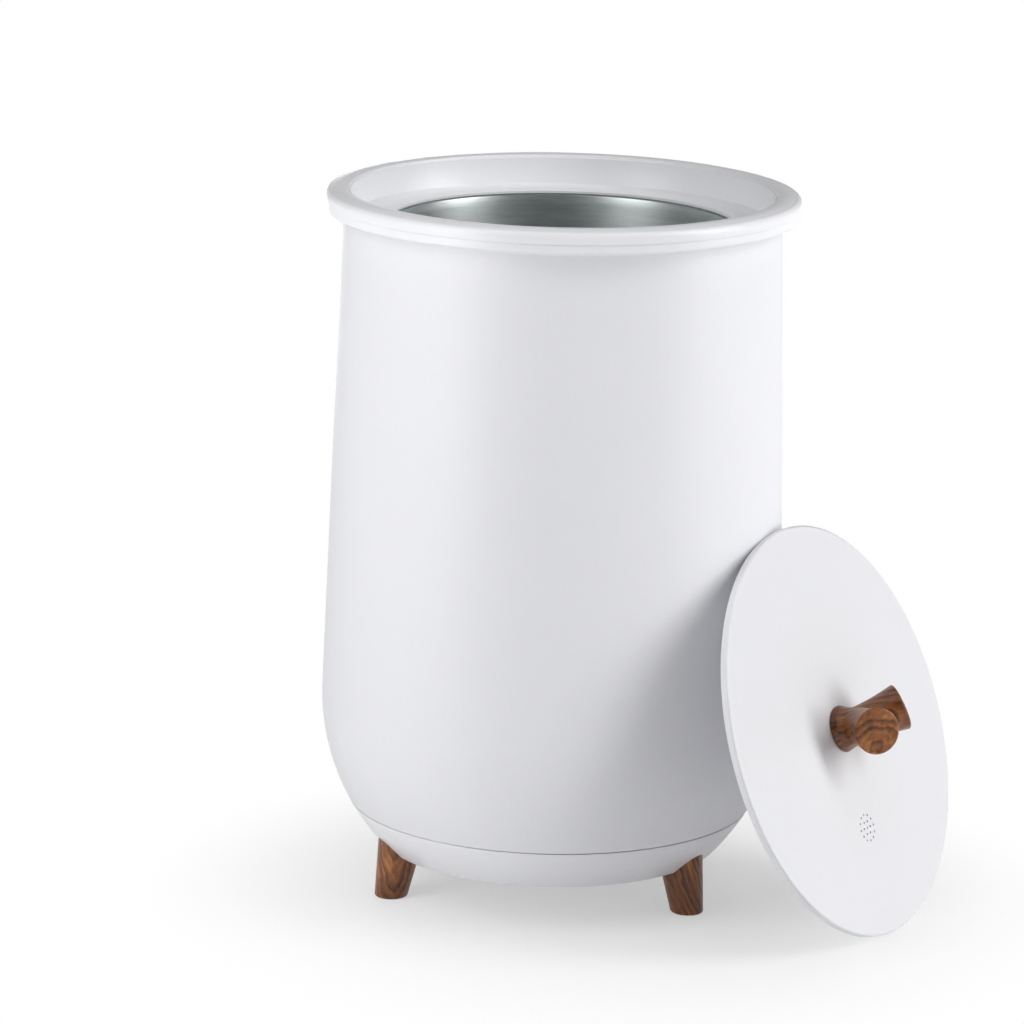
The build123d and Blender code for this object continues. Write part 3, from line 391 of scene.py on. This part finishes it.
# Material from one effect group: its colour, gloss and height vary, the shader's other values are plain.
# The bump is (strength, distance); place turns the object's own coordinates first.
def material(name, group, values, shader, bump, place=None):
    made = bpy.data.materials.new(name)
    made.use_nodes = True
    tree = made.node_tree
    tree.nodes.clear()
    output = tree.nodes.new("ShaderNodeOutputMaterial")
    surface = addNode(tree, "ShaderNodeBsdfPrincipled", shader)
    position = tree.nodes.new("ShaderNodeTexCoord").outputs["Object"]
    if place:
        position = addNode(tree, "ShaderNodeMapping", {"Vector": position, **place}).outputs[0]
    effect = addNode(tree, "ShaderNodeGroup", node_tree=groups[group])
    tree.links.new(position, effect.inputs["Vector"])
    for key, value in values.items():
        effect.inputs[key].default_value = value
    tree.links.new(effect.outputs["Colour"], surface.inputs["Base Color"])
    tree.links.new(effect.outputs["Roughness"], surface.inputs["Roughness"])
    relief = addNode(tree, "ShaderNodeBump",
                     {"Strength": bump[0], "Distance": bump[1], "Height": effect.outputs["Height"]})
    tree.links.new(relief.outputs[0], surface.inputs["Normal"])
    tree.links.new(surface.outputs[0], output.inputs[0])
    return made


plasticUsual = {"coat": 0.0, "mottle": 0.02, "smudge": 0.05, "grain": 900.0, "bump": (0.12, 0.00005)}
plasticShader = {"Coat Roughness": 0.12, "IOR": 1.5}
metalShader = {"Metallic": 1.0}
aroundShader = {"Anisotropic": 0.5, "Anisotropic Rotation": 0.25}
woodShader = {"Coat Weight": 0.2, "Coat Roughness": 0.28, "IOR": 1.42}
woodBump = (0.3, 0.0001)


def plastic(name, colour, roughness, **changes):
    p = {**plasticUsual, **changes}
    values = {"Colour": (*colour, 1), "Mottle": p["mottle"], "Roughness": roughness, "Smudge": p["smudge"],
              "Grain Scale": p["grain"]}
    return material(name, "plastic", values, {"Coat Weight": p["coat"], **plasticShader}, p["bump"])


def metal(name, dark, light, roughness, bump=(0.25, 0.00004)):
    values = {"Dark": (*dark, 1), "Light": (*light, 1), "Roughness": roughness}
    return material(name, "metal", values, metalShader, bump)


# Metal brushed round the axis draws a highlight out in height: its tangent is Z crossed with the place
def metalAround(name, *values):
    made = metal(name, *values)
    tree = made.node_tree
    position = tree.nodes.new("ShaderNodeTexCoord").outputs["Object"]
    tangent = addNode(tree, "ShaderNodeVectorMath", {0: (0, 0, 1), 1: position}, operation="CROSS_PRODUCT")
    surface = tree.nodes["Principled BSDF"]
    for key, value in aroundShader.items():
        surface.inputs[key].default_value = value
    tree.links.new(tangent.outputs[0], surface.inputs["Tangent"])
    return made


# Walnut whose rings run round a line through a point (mm) along a direction: that line becomes the X axis
def wood(name, middle, grain, values):
    turn = Vector(grain).rotation_difference(Vector((1, 0, 0))).to_matrix()
    place = {"Location": -(turn @ (Vector(middle) * mm)), "Rotation": turn.to_euler("XYZ")}
    return material(name, "wood", values, woodShader, woodBump, place)


# Plastics: name, colour, roughness. Metals: name, dark, light, roughness, bump.
finishes = {
    "shell": plastic("shellWhite", (0.835, 0.838, 0.868), 0.46),
    "trim": plastic("trimWhite", (0.872, 0.875, 0.90), 0.32),
    # the lid's white is painted darker than the rim's and base's same white: painted shade that keeps the
    # right lamp from burning it out
    "lid": plastic("lidWhiteWithPaintedShade", (0.805, 0.807, 0.832), 0.42),
    "buttons": plastic("buttonGrey", (0.52, 0.53, 0.535), 0.38, mottle=0.04, bump=(0.25, 0.00006)),
    "pipe": plastic("lightPipeGrey", (0.20, 0.21, 0.23), 0.16, coat=0.5),
    "silicone": plastic("siliconeGrey", (0.30, 0.31, 0.32), 0.55, mottle=0.05, grain=600.0),
    "rubber": plastic("glandRubber", (0.62, 0.62, 0.63), 0.5, mottle=0.05, grain=700.0),
    "ink": plastic("legendInk", (0.030, 0.032, 0.036), 0.42, mottle=0.08),
    "iconInk": plastic("iconInk", (0.17, 0.175, 0.18), 0.42, mottle=0.08),
    "black": plastic("blackPlastic", (0.02, 0.02, 0.023), 0.35, mottle=0.1),
    "board": plastic("boardGreen", (0.03, 0.16, 0.06), 0.3, coat=0.3, mottle=0.15),
    "film": plastic("heaterFilm", (0.42, 0.12, 0.04), 0.5, mottle=0.1),
    "felt": plastic("insulationFelt", (0.62, 0.60, 0.56), 0.95, mottle=0.25, bump=(0.8, 0.0008), grain=420.0),
    "pot": metalAround("potSteel", (0.56, 0.605, 0.60), (0.76, 0.81, 0.80), 0.42, (0.15, 0.00003)),
    "steel": metal("zincSteel", (0.42, 0.43, 0.44), (0.70, 0.71, 0.72), 0.36),
}
print("materials made")


# Outline that the shell and the base ring share
bodySizes = {
    "bellyRadius": 167.4, "bellyHeight": 142.5, "bellyArc": 160.0, "topRadius": 157.1, "top": 484.2,
    "wall": 2.5, "seam": 64.0, "seamRound": 0.35, "seamRoundIn": 0.28, "neckTop": 493.7, "neckWall": 1.0,
    "bellySteps": 44, "wallSteps": 40,
}


# Angle at which the straight wall leaves the belly arc, from the arc's centre to the shell's top edge
def taperAngle():
    s = bodySizes
    away = s["topRadius"] - (s["bellyRadius"] - s["bellyArc"])
    rise = s["top"] - s["bellyHeight"]
    return degrees(atan2(rise, away) - acos(s["bellyArc"] / sqrt(away**2 + rise**2)))


# Radius of the straight tapered wall, carried on upwards
def neckRadius(height):
    return bodySizes["topRadius"] - (height - bodySizes["top"]) * tan(radians(taperAngle()))


# Profile down the outside, round the belly arc to the seam, and back up inside by one wall thickness
def makeShell():
    s = bodySizes
    centre = (s["bellyRadius"] - s["bellyArc"], s["bellyHeight"])
    lean = taperAngle()
    inner = s["bellyArc"] - s["wall"]
    low = -degrees(asin((s["bellyHeight"] - s["seam"]) / s["bellyArc"]))
    lowInner = -degrees(asin((s["bellyHeight"] - s["seam"]) / inner))
    belly = arc(centre, s["bellyArc"], lean, low, s["bellySteps"])
    bellyInner = arc(centre, inner, lowInner, lean, s["bellySteps"])
    share = np.linspace(0, 1, s["wallSteps"])[:, None]
    neck = np.array([neckRadius(s["neckTop"]), s["neckTop"]])
    topInner = np.array([s["topRadius"] - s["wall"], s["top"]])
    wall = neck + (belly[0] - neck) * share
    wallInner = bellyInner[-1] + (topInner - bellyInner[-1]) * share
    belly[-1] += (0, s["seamRound"])
    seamEdge = belly[-1] - (s["seamRoundIn"], s["seamRound"])
    # above the shell's own top edge a thin lip laps over the collar's neck
    lap = [(neckRadius(s["top"]) - s["neckWall"], s["top"]), (neck[0] - s["neckWall"], s["neckTop"])]
    profile = run(wall, belly, seamEdge, bellyInner, wallInner, lap)
    return finish(lathe("bodyShell", profile, "bucket"), finishes["shell"], "shell_white", "outer_shell")


makeShell()
print("shell made")


rimSizes = {
    "radius": 170.0, "height": 513.5, "wall": 2.4, "step": 503.4, "stepRound": 0.5, "edgeRound": 4.0,
    "crownDrop": 1.2, "crownRise": 0.79, "innerRound": 1.5, "innerStraight": 0.6, "recess": 151.5,
    "recessFoot": 150.9, "footRound": ((0.0, 0.7), (0.25, 0.2), (0.8, 0.0)),  # inwards and up from the corner
    "ledge": 491.6, "ledgeInner": 123.6, "ledgeThickness": 2.4, "ledgeChamfer": 0.8,
    "stepSteps": 5, "edgeSteps": 14, "innerSteps": 9, "crownSteps": 14,
}


# Profile from the step line over the crown, down the recess, in along the ledge and back underneath
def makeRim():
    s = rimSizes
    shoulder = s["height"] - s["crownDrop"]
    outer = s["radius"] - s["edgeRound"]
    inner = s["recess"] + 2 * s["crownDrop"]
    innerEdge = s["height"] - s["crownDrop"] / 3
    innerLow = innerEdge - s["innerRound"]
    under = s["ledge"] - s["ledgeThickness"]
    soft = s["stepRound"]
    share = np.linspace(0, 1, s["crownSteps"])
    # the crown rises in a flat arch between its two roundings
    arch = s["crownRise"] * 4 * share * (1 - share)
    crown = np.stack([outer + (inner - outer) * share, shoulder + (innerEdge - shoulder) * share + arch], -1)
    profile = run(
        arc((s["radius"] - soft, s["step"] + soft), soft, -90, 0, s["stepSteps"]),
        arc((outer, shoulder - s["edgeRound"]), s["edgeRound"], 0, 90, s["edgeSteps"]),
        crown,
        arc((inner, innerLow), s["innerRound"], 90, 180, s["innerSteps"])[1:],
        (s["recess"], innerLow - s["innerStraight"]),
        [(s["recessFoot"] - inwards, s["ledge"] + up) for inwards, up in s["footRound"]],
        (s["ledgeInner"] + s["ledgeChamfer"], s["ledge"]),
        (s["ledgeInner"], s["ledge"] - s["ledgeChamfer"]),
        (s["ledgeInner"], under),
        (s["recessFoot"] + s["wall"], under),
        (s["recess"] + s["wall"], innerLow - s["wall"]),
        (outer - s["wall"] / 2, shoulder - s["wall"]),
        (outer + s["edgeRound"] - s["wall"], shoulder - s["edgeRound"]),
        (s["radius"] - s["wall"], s["step"]),
    )
    rim = lathe("rimCrown", profile, "bucket", meshValues["fineTurns"])
    return finish(rim, finishes["trim"], "trim_white", "rim_ring")


collarSizes = {
    "outer": 169.3, "under": 496.7, "wall": 2.4, "edgeRound": 2.0, "stepRound": 0.3, "fillet": 3.0,
    "neckInner": 154.2, "web": 486.8, "webUnder": 484.2, "webInner": 128.0, "hookBottom": 480.0, "lap": 0.05,
    "arcSteps": 12,
}


# Profile out from the neck under the ring, up to the step line, back down inside and round the hook
def makeCollar():
    s = collarSizes
    step = rimSizes["step"]
    outer, inside = s["outer"], s["outer"] - s["wall"]
    neckTop = s["under"] - s["fillet"]
    neck = neckRadius(neckTop)
    lapRadius = bodySizes["neckWall"] + s["lap"]
    hookInner = s["neckInner"] - s["wall"]
    profile = run(
        arc((neck + s["fillet"], neckTop), s["fillet"], 180, 90, s["arcSteps"]),
        arc((outer - s["edgeRound"], s["under"] + s["edgeRound"]), s["edgeRound"], -90, 0, s["arcSteps"]),
        (outer, step - s["stepRound"]),
        (outer - s["stepRound"], step),
        (inside, step),
        (inside, s["under"] + s["wall"]),
        (s["neckInner"], s["under"] + s["wall"]),
        (s["neckInner"], s["web"]),
        (s["webInner"], s["web"]),
        (s["webInner"], s["webUnder"]),
        (hookInner, s["webUnder"]),
        (hookInner, s["hookBottom"]),
        (s["neckInner"], s["hookBottom"]),
        (s["neckInner"], s["webUnder"]),
        (neckRadius(s["webUnder"]) - lapRadius, s["webUnder"]),
        (neck - lapRadius, neckTop),
    )
    collar = lathe("rimCollar", profile, "bucket", meshValues["fineTurns"])
    return finish(collar, finishes["trim"], "trim_white", "rim_collar")


makeRim()
makeCollar()
print("rim made")


potSizes = {
    "radius": 122.5, "wall": 1.2, "floor": 74.0, "corner": 14.0, "flange": 138.0, "top": 488.0,
    "lip": 0.6, "lipOut": 0.18, "wallSteps": 60, "floorSteps": 24, "cornerSteps": 16,
}


# Profile from the floor's middle up the wall, out along the flange and back down outside
def makePot():
    s = potSizes
    bend = s["floor"] + s["corner"]
    inner = s["radius"] - s["corner"]
    heights = np.linspace(bend, s["top"] - s["lip"], s["wallSteps"])[1:]
    radii = np.linspace(0, inner, s["floorSteps"])
    profile = run(
        np.stack([radii, radii * 0 + s["floor"]], -1),
        arc((inner, bend), s["corner"], -90, 0, s["cornerSteps"]),
        np.stack([heights * 0 + s["radius"], heights], -1),
        (s["radius"] + s["lipOut"], s["top"]),
        (s["flange"], s["top"]),
        (s["flange"], s["top"] - s["wall"]),
        (s["radius"] + s["wall"], s["top"] - s["wall"]),
        arc((inner, bend), s["corner"] + s["wall"], 0, -90, s["cornerSteps"]),
        (0, s["floor"] - s["wall"]),
    )
    pot = lathe("innerPot", profile, "bucket", meshValues["fineTurns"])
    return finish(pot, finishes["pot"], "pot_metal", "inner_pot")


makePot()
print("pot made")


# The rings' middle line (the pith) leans across the peg, off to one side, so that arched grain shows on it
footSizes = {
    "count": 3, "firstAzimuth": 90.0, "circle": 124.453, "splay": 10.0, "bottomRadius": 11.8,
    "topRadius": 17.2, "top": 50.0, "round": 1.8, "turns": 72, "steps": 34, "roundSteps": 8,
    "wave": 0.05, "waveTurn": 1.9, "waveStart": 6,  # faint hand-turned waviness breaks up the highlights
    "pithTurn": (36.0, 75.0, 66.0), "pithShift": 21.0, "pithLean": 0.42, "pithHeight": 20,
    "ringWidth": (0.0034, 0.0033, 0.0046),
}


# Peg: stacked level rings whose centres lean outwards and whose radii taper, rounded in at the sole
def makeFoot(number):
    s = footSizes
    tilt = radians(s["splay"])
    turn = radians(s["firstAzimuth"] + 360.0 / s["count"] * (number - 1))
    heights = np.r_[np.linspace(0, s["round"], s["roundSteps"]),
                    np.linspace(s["round"], s["top"], s["steps"])[1:]]
    radius = s["bottomRadius"] + (s["topRadius"] - s["bottomRadius"]) * heights / s["top"]
    left = np.clip(s["round"] - heights, 0, None)
    radius = radius - (s["round"] - np.sqrt(s["round"] ** 2 - left**2))
    wave = np.sin(heights * s["waveTurn"]) * np.clip(heights / s["waveStart"], 0, 1)
    radius = radius + s["wave"] * wave - s["wave"]
    t = np.linspace(0, 2 * pi, s["turns"], endpoint=False)
    away = (s["circle"] - heights * np.tan(tilt))[:, None] + (radius / cos(tilt))[:, None] * np.cos(t)
    side = radius[:, None] * np.sin(t)
    grid = np.stack([away * cos(turn) - side * sin(turn), away * sin(turn) + side * cos(turn),
                     heights[:, None] + 0 * t], -1)
    ends = np.array([grid[0].mean(0), grid[-1].mean(0)])
    faces = gridFaces(len(heights), s["turns"]) + fanFaces(len(heights), s["turns"])
    foot = putMesh(f"pegFoot{number}", np.vstack([grid.reshape(-1, 3), ends]), faces, "bucket")
    aside = turn + radians(s["pithTurn"][number - 1])
    pith = (s["circle"] * cos(turn) + s["pithShift"] * cos(aside),
            s["circle"] * sin(turn) + s["pithShift"] * sin(aside), s["pithHeight"])
    along = (-s["pithLean"] * cos(aside), -s["pithLean"] * sin(aside), 1.0)
    grain = wood(f"walnutFoot{number}", pith, along, {"Ring Width": s["ringWidth"][number - 1]})
    return finish(foot, grain, "walnut", f"foot_{number}")


for footNumber in range(1, footSizes["count"] + 1):
    makeFoot(footNumber)
print("feet made")


# Base ring, lid and small pieces keep the solids' own shapes: node, then body and finish
dressed = {
    "base_ring": ("bucket", "trim"),
    "bottom_plate": ("bucket", "trim"),
    "pot_gasket": ("bucket", "silicone"),
    "cord_gland": ("bucket", "rubber"),
    "bottom_plate_screws": ("bucket", "steel"),
    "temperature_button": ("temperature_button", "buttons"),
    "power_button": ("power_button", "buttons"),
    "lid_panel": ("lid", "lid"),
    "lid_liner": ("lid", "lid"),
    "lid_seal": ("lid", "silicone"),
    "lid_screws": ("lid", "steel"),
    "scent_holder": ("lid", "lid"),
    "handle_screw": ("lid", "steel"),
    "handle_washer": ("lid", "steel"),
}
for nodeName, (bodyName, finishName) in dressed.items():
    dressCopy(nodeName, bodyName, finishes[finishName])

# Pieces inside the housing show as the frame's own nodes
inside = {
    "rim_screws": "steel", "heating_band": "film", "insulation_sleeve": "felt", "pot_support": "steel",
    "pot_pad": "silicone", "thermostat": "black", "thermal_fuse": "black", "fuse_clip": "steel",
    "foot_bolts": "steel", "foot_washers": "steel", "control_board": "board", "tact_switches": "black",
    "board_screws": "steel",
}
for nodeName, finishName in inside.items():
    data = nodes[nodeName].data
    data.materials.clear()
    data.materials.append(finishes[finishName])
print("carried pieces dressed")


# Handle: the pith's place (mm) and direction, the angle at which edges stay sharp, and the grain's changes
handleWood = {
    "handle_stem": {
        "name": "walnutStem", "pith": (-70, 205, 150), "along": (0.9, 0.1, 0.25), "crease": 32.0,
        "grain": {"Dark": (0.030, 0.009, 0.003, 1), "Middle": (0.150, 0.050, 0.014, 1),
                  "Light": (0.38, 0.155, 0.048, 1)},
    },
    "handle_bar": {
        "name": "walnutFork", "pith": (-34, 254, 139), "along": (-0.25, 1.27, 0.50), "crease": 24.0,
        "grain": {"Ring Width": 0.0050},
    },
}
for nodeName, w in handleWood.items():
    dressCopy(nodeName, "lid", wood(w["name"], w["pith"], w["along"], w["grain"]), w["crease"])
print("handle made")


# Panel: places on it are x to the right and y up the band, in the plane that touches the band at its middle
panelSizes = {
    "height": 49.0, "arc": 160.0, "arcCentre": (7.4, 142.5), "wrapSteps": 12,
    "buttonX": 36.0, "buttonY": -1.0, "buttonProud": 0.8,
    "lightPitch": 9.6,
    "timeLabels": ("20", "40", "60", "90"), "timeLabelY": 9.4,
    "heatLabels": ("L", "M", "H"), "heatLabelY": -12.1,
    "labelHeight": 3.0, "labelBold": 0.02, "labelSteps": 4,
    "inkLift": 0.03, "inkThickness": 0.03,
}

# Icons, from the middle of their button. Rings: centre, inner and outer radius, and then, where they aren't
# whole, the angles and the number of steps. Bars: start, end, width.
iconShapes = {
    "thermometer": (
        ("ring", (-1.6, -2.6), 0.0, 1.15),
        ("ring", (-1.6, -2.6), 1.55, 1.95, 118, 422),
        ("bar", (-1.6, -2.2), (-1.6, 1.6), 0.6),
        ("bar", (-2.5, -1.0), (-2.5, 3.2), 0.4),
        ("bar", (-0.7, -1.0), (-0.7, 3.2), 0.4),
        ("ring", (-1.6, 3.2), 0.7, 1.1, 0, 180, 16),
        ("ring", (2.2, -2.2), 0.0, 0.55, 0, 360, 20),
        ("ring", (2.2, 0.2), 0.0, 0.55, 0, 360, 20),
        ("ring", (2.2, 2.6), 0.0, 0.55, 0, 360, 20),
    ),
    "power": (
        ("ring", (0, 0), 2.35, 2.95, 125, 415),
        ("bar", (0, 0.4), (0, 3.5), 0.6),
    ),
}


# Flat panel points go back along the panel's normal until they are on the band, lifted off it a little
def onPanel(points, lift):
    s = panelSizes
    centreRadius, centreHeight = s["arcCentre"]
    tilt = asin((centreHeight - s["height"]) / s["arc"])
    normal = np.array([0, -cos(tilt), -sin(tilt)])
    upBand = np.array([0, -sin(tilt), cos(tilt)])
    start = np.array([0, -centreRadius - s["arc"] * cos(tilt), s["height"]])
    flat = start + points[:, :1] * np.array([1.0, 0, 0]) + points[:, 1:2] * upBand
    depth = np.zeros((len(points), 1))
    for _ in range(s["wrapSteps"]):
        place = flat - depth * normal
        away = np.hypot(place[:, 0], place[:, 1]) - centreRadius
        depth += (np.hypot(away, place[:, 2] - centreHeight) - s["arc"] - lift)[:, None]
    return flat - depth * normal


# Quads between two rows of points, one listed after the other
def stripFaces(count):
    i = np.arange(count - 1)
    return np.stack([i, i + count, i + count + 1, i + 1], -1)


# Flat band between two radii, from one angle to another
def flatRing(centre, inner, outer, start=0, end=360, count=40):
    t = np.radians(np.linspace(start, end, count))
    around = np.stack([np.cos(t), np.sin(t)], -1)
    return np.vstack([centre + inner * around, centre + outer * around]), stripFaces(count)


# Flat bar from one point to another, divided along its length
def flatBar(start, end, width, count=6):
    along = (end - start) / np.linalg.norm(end - start)
    across = np.array([-along[1], along[0]]) * width / 2
    middle = start + (end - start) * np.linspace(0, 1, count)[:, None]
    return np.vstack([middle + across, middle - across]), stripFaces(count)


# Flat outline of a word from the plain built-in font, centred on a place
def wordShape(text, centre, height):
    curve = bpy.data.curves.new("word", "FONT")
    curve.body = text
    curve.align_x, curve.align_y = "CENTER", "CENTER"
    curve.offset = panelSizes["labelBold"]
    curve.resolution_u = panelSizes["labelSteps"]
    holder = bpy.data.objects.new("word", curve)
    mesh = bpy.data.meshes.new_from_object(holder)
    flat = np.zeros(len(mesh.vertices) * 3)
    mesh.vertices.foreach_get("co", flat)
    flat = flat.reshape(-1, 3)[:, :2]
    size = flat.max(0) - flat.min(0)
    flat = (flat - (flat.max(0) + flat.min(0)) / 2) * height / size[1] + centre
    faces = [list(p.vertices) for p in mesh.polygons]
    bpy.data.objects.remove(holder)
    bpy.data.meshes.remove(mesh)
    bpy.data.curves.remove(curve)
    return flat, faces


def iconParts(icon, buttonX):
    middle = np.array([buttonX, panelSizes["buttonY"]])
    shapes = []
    for kind, start, *rest in iconShapes[icon]:
        if kind == "ring":
            shapes.append(flatRing(middle + start, *rest))
        else:
            end, width = rest
            shapes.append(flatBar(middle + start, middle + end, width))
    return shapes


# Flat shapes joined into one thin printed layer on the band
def printed(name, shapes, body, lift, ink):
    points, faces, first = [], [], 0
    for flat, rows in shapes:
        points.append(flat)
        faces += [[first + int(i) for i in row] for row in rows]
        first += len(flat)
    piece = putMesh(name, onPanel(np.vstack(points), lift), faces, body, closed=False)
    outward = sum((p.normal * p.area for p in piece.data.polygons), Vector())
    if outward.y > 0:
        piece.data.flip_normals()
    thick = piece.modifiers.new("thickness", "SOLIDIFY")
    thick.thickness = panelSizes["inkThickness"] * mm
    thick.offset = 1.0
    return finish(piece, finishes[ink], "black_plastic")


def makeLegends():
    s = panelSizes
    shapes = []
    for labels, y in ((s["timeLabels"], s["timeLabelY"]), (s["heatLabels"], s["heatLabelY"])):
        for i, word in enumerate(labels):
            x = (i - (len(labels) - 1) / 2) * s["lightPitch"]
            shapes.append(wordShape(word, (x, y), s["labelHeight"]))
    printed("panelLegends", shapes, "bucket", s["inkLift"], "ink")
    capLift = s["buttonProud"] + s["inkLift"]
    thermometer = iconParts("thermometer", -s["buttonX"])
    printed("temperatureIcon", thermometer, "temperature_button", capLift, "iconInk")
    printed("powerIcon", iconParts("power", s["buttonX"]), "power_button", capLift, "iconInk")


lightLook = {
    "blue": (0.10, 0.28, 0.95), "red": (0.95, 0.07, 0.04), "strength": 1.6, "dim": 0.8,
    "flicker": (1500.0, 2.0, 0.5), "flickerRange": (0.3, 0.7), "roughness": 0.25, "coat": 0.4,
    "litTime": 0, "litHeat": 2,
}


# Lit lens: it glows in its own colour, faintly uneven
def litMaterial(name, colour):
    look = lightLook
    made = bpy.data.materials.new(name)
    made.use_nodes = True
    tree = made.node_tree
    surface = tree.nodes["Principled BSDF"]
    position = tree.nodes.new("ShaderNodeTexCoord").outputs["Object"]
    share = spread(tree, noise(tree, position, *look["flicker"]), *look["flickerRange"])
    tone = blendColour(tree, share, (*[c * look["dim"] for c in colour], 1), (*colour, 1))
    tree.links.new(tone, surface.inputs["Base Color"])
    tree.links.new(tone, surface.inputs["Emission Color"])
    surface.inputs["Emission Strength"].default_value = look["strength"]
    surface.inputs["Roughness"].default_value = look["roughness"]
    surface.inputs["Coat Weight"].default_value = look["coat"]
    return made


# The light pipes keep their solids; the one that is on in each row gets a lit material by its place
def makeLights():
    s = panelSizes
    blue = litMaterial("litBlue", lightLook["blue"])
    red = litMaterial("litRed", lightLook["red"])
    rows = (("time_leds", s["timeLabels"], lightLook["litTime"], blue),
            ("heat_leds", s["heatLabels"], lightLook["litHeat"], red))
    for node, labels, lit, glow in rows:
        piece = dressCopy(node, "bucket", finishes["pipe"])
        piece.data.materials.append(glow)
        x = (lit - (len(labels) - 1) / 2) * s["lightPitch"]
        middles = np.zeros(len(piece.data.polygons) * 3)
        piece.data.polygons.foreach_get("center", middles)
        near = np.abs(middles.reshape(-1, 3)[:, 0] / mm - x) < s["lightPitch"] / 2
        piece.data.polygons.foreach_set("material_index", near.astype(np.int32))
        piece.data.update()


makeLegends()
makeLights()
print("panel made")


# Stage: floor, world and lamps
stageValues = {
    "floorSize": 14.0, "floorColour": (0.92, 0.92, 0.925), "tooth": (5.0, 3.0, 0.5), "toothTone": 0.995,
    "nearGlow": 0.44, "glowStart": 0.12, "glowEnd": 0.36, "glowCentre": (0.0, 0.06, 0.0),
    "worldLight": 0.09, "worldColour": (0.985, 0.99, 1.0), "lampAim": (0, 0.05, 0.28),
}
# azimuth is counted from the camera's direction, positive to the picture's right
lamps = {
    "leftBox": {"azimuth": -54, "elevation": 22, "distance": 1.1, "size": (0.5, 1.3), "power": 7.7},
    "rightBox": {"azimuth": 76, "elevation": 22, "distance": 3.0, "size": (1.3, 3.1), "power": 76},
    "rearBox": {"azimuth": -166, "elevation": 2, "distance": 1.4, "size": (0.5, 0.5), "power": 4},
    "topBox": {"azimuth": 0, "elevation": 84, "distance": 2.6, "size": (2.6, 2.6), "power": 16},
}


# White paper that keeps the object's shadow near it and is plain white far away
def makeFloor():
    s = stageValues
    half = s["floorSize"] / 2
    corners = [(-half, -half, 0), (half, -half, 0), (half, half, 0), (-half, half, 0)]
    mesh = bpy.data.meshes.new("floor")
    mesh.from_pydata(corners, [], [(0, 1, 2, 3)])
    floor = addObject("floor", mesh)
    made = bpy.data.materials.new("floorPaper")
    made.use_nodes = True
    tree = made.node_tree
    tree.nodes.clear()
    position = tree.nodes.new("ShaderNodeTexCoord").outputs["Object"]
    colour = s["floorColour"]
    tone = blendColour(tree, noise(tree, position, *s["tooth"]),
                       (*[c * s["toothTone"] for c in colour], 1), (*colour, 1))
    paper = addNode(tree, "ShaderNodeBsdfDiffuse", {"Color": tone})
    glow = addNode(tree, "ShaderNodeEmission", {"Color": (1, 1, 1, 1), "Strength": 1.0})
    # the glow is for the camera and for reflections only, and lights nothing
    path = tree.nodes.new("ShaderNodeLightPath")
    seen = maths(tree, "MAXIMUM", path.outputs["Is Camera Ray"], path.outputs["Is Glossy Ray"])
    away = addNode(tree, "ShaderNodeVectorMath", {0: position, 1: s["glowCentre"]},
                   operation="DISTANCE").outputs["Value"]
    far = addNode(tree, "ShaderNodeMapRange",
                  {0: away, 1: s["glowStart"], 2: s["glowEnd"], 3: s["nearGlow"], 4: 1.0},
                  interpolation_type="SMOOTHSTEP").outputs[0]
    mixed = addNode(tree, "ShaderNodeMixShader",
                    {0: maths(tree, "MULTIPLY", seen, far), 1: paper.outputs[0], 2: glow.outputs[0]})
    tree.links.new(mixed.outputs[0], tree.nodes.new("ShaderNodeOutputMaterial").inputs[0])
    mesh.materials.append(made)


# White where the camera sees it, and a faint even light on the object
def makeWorld():
    world = bpy.data.worlds.new("studio")
    bpy.context.scene.world = world
    world.use_nodes = True
    tree = world.node_tree
    tree.nodes.clear()
    path = tree.nodes.new("ShaderNodeLightPath")
    seen = maths(tree, "MAXIMUM", path.outputs["Is Camera Ray"], path.outputs["Is Transmission Ray"])
    light = addNode(tree, "ShaderNodeBackground",
                    {"Color": (*stageValues["worldColour"], 1), "Strength": stageValues["worldLight"]})
    white = addNode(tree, "ShaderNodeBackground", {"Color": (1, 1, 1, 1), "Strength": 1.0})
    mixed = addNode(tree, "ShaderNodeMixShader", {0: seen, 1: light.outputs[0], 2: white.outputs[0]})
    tree.links.new(mixed.outputs[0], tree.nodes.new("ShaderNodeOutputWorld").inputs[0])


def makeLamp(name, values):
    data = bpy.data.lights.new(name, "AREA")
    data.shape = "RECTANGLE"
    data.size, data.size_y = values["size"]
    data.energy = values["power"]
    lamp = addObject(name, data)
    way = aim(cameraFit["azimuth"] + values["azimuth"], values["elevation"])
    lamp.location = Vector(stageValues["lampAim"]) + way * values["distance"]
    lamp.rotation_mode = "QUATERNION"
    lamp.rotation_quaternion = (-way).to_track_quat("-Z", "Y")


makeFloor()
makeWorld()
for lampName, lampValues in lamps.items():
    makeLamp(lampName, lampValues)
bpy.context.scene.view_settings.view_transform = "Standard"
print("stage made")
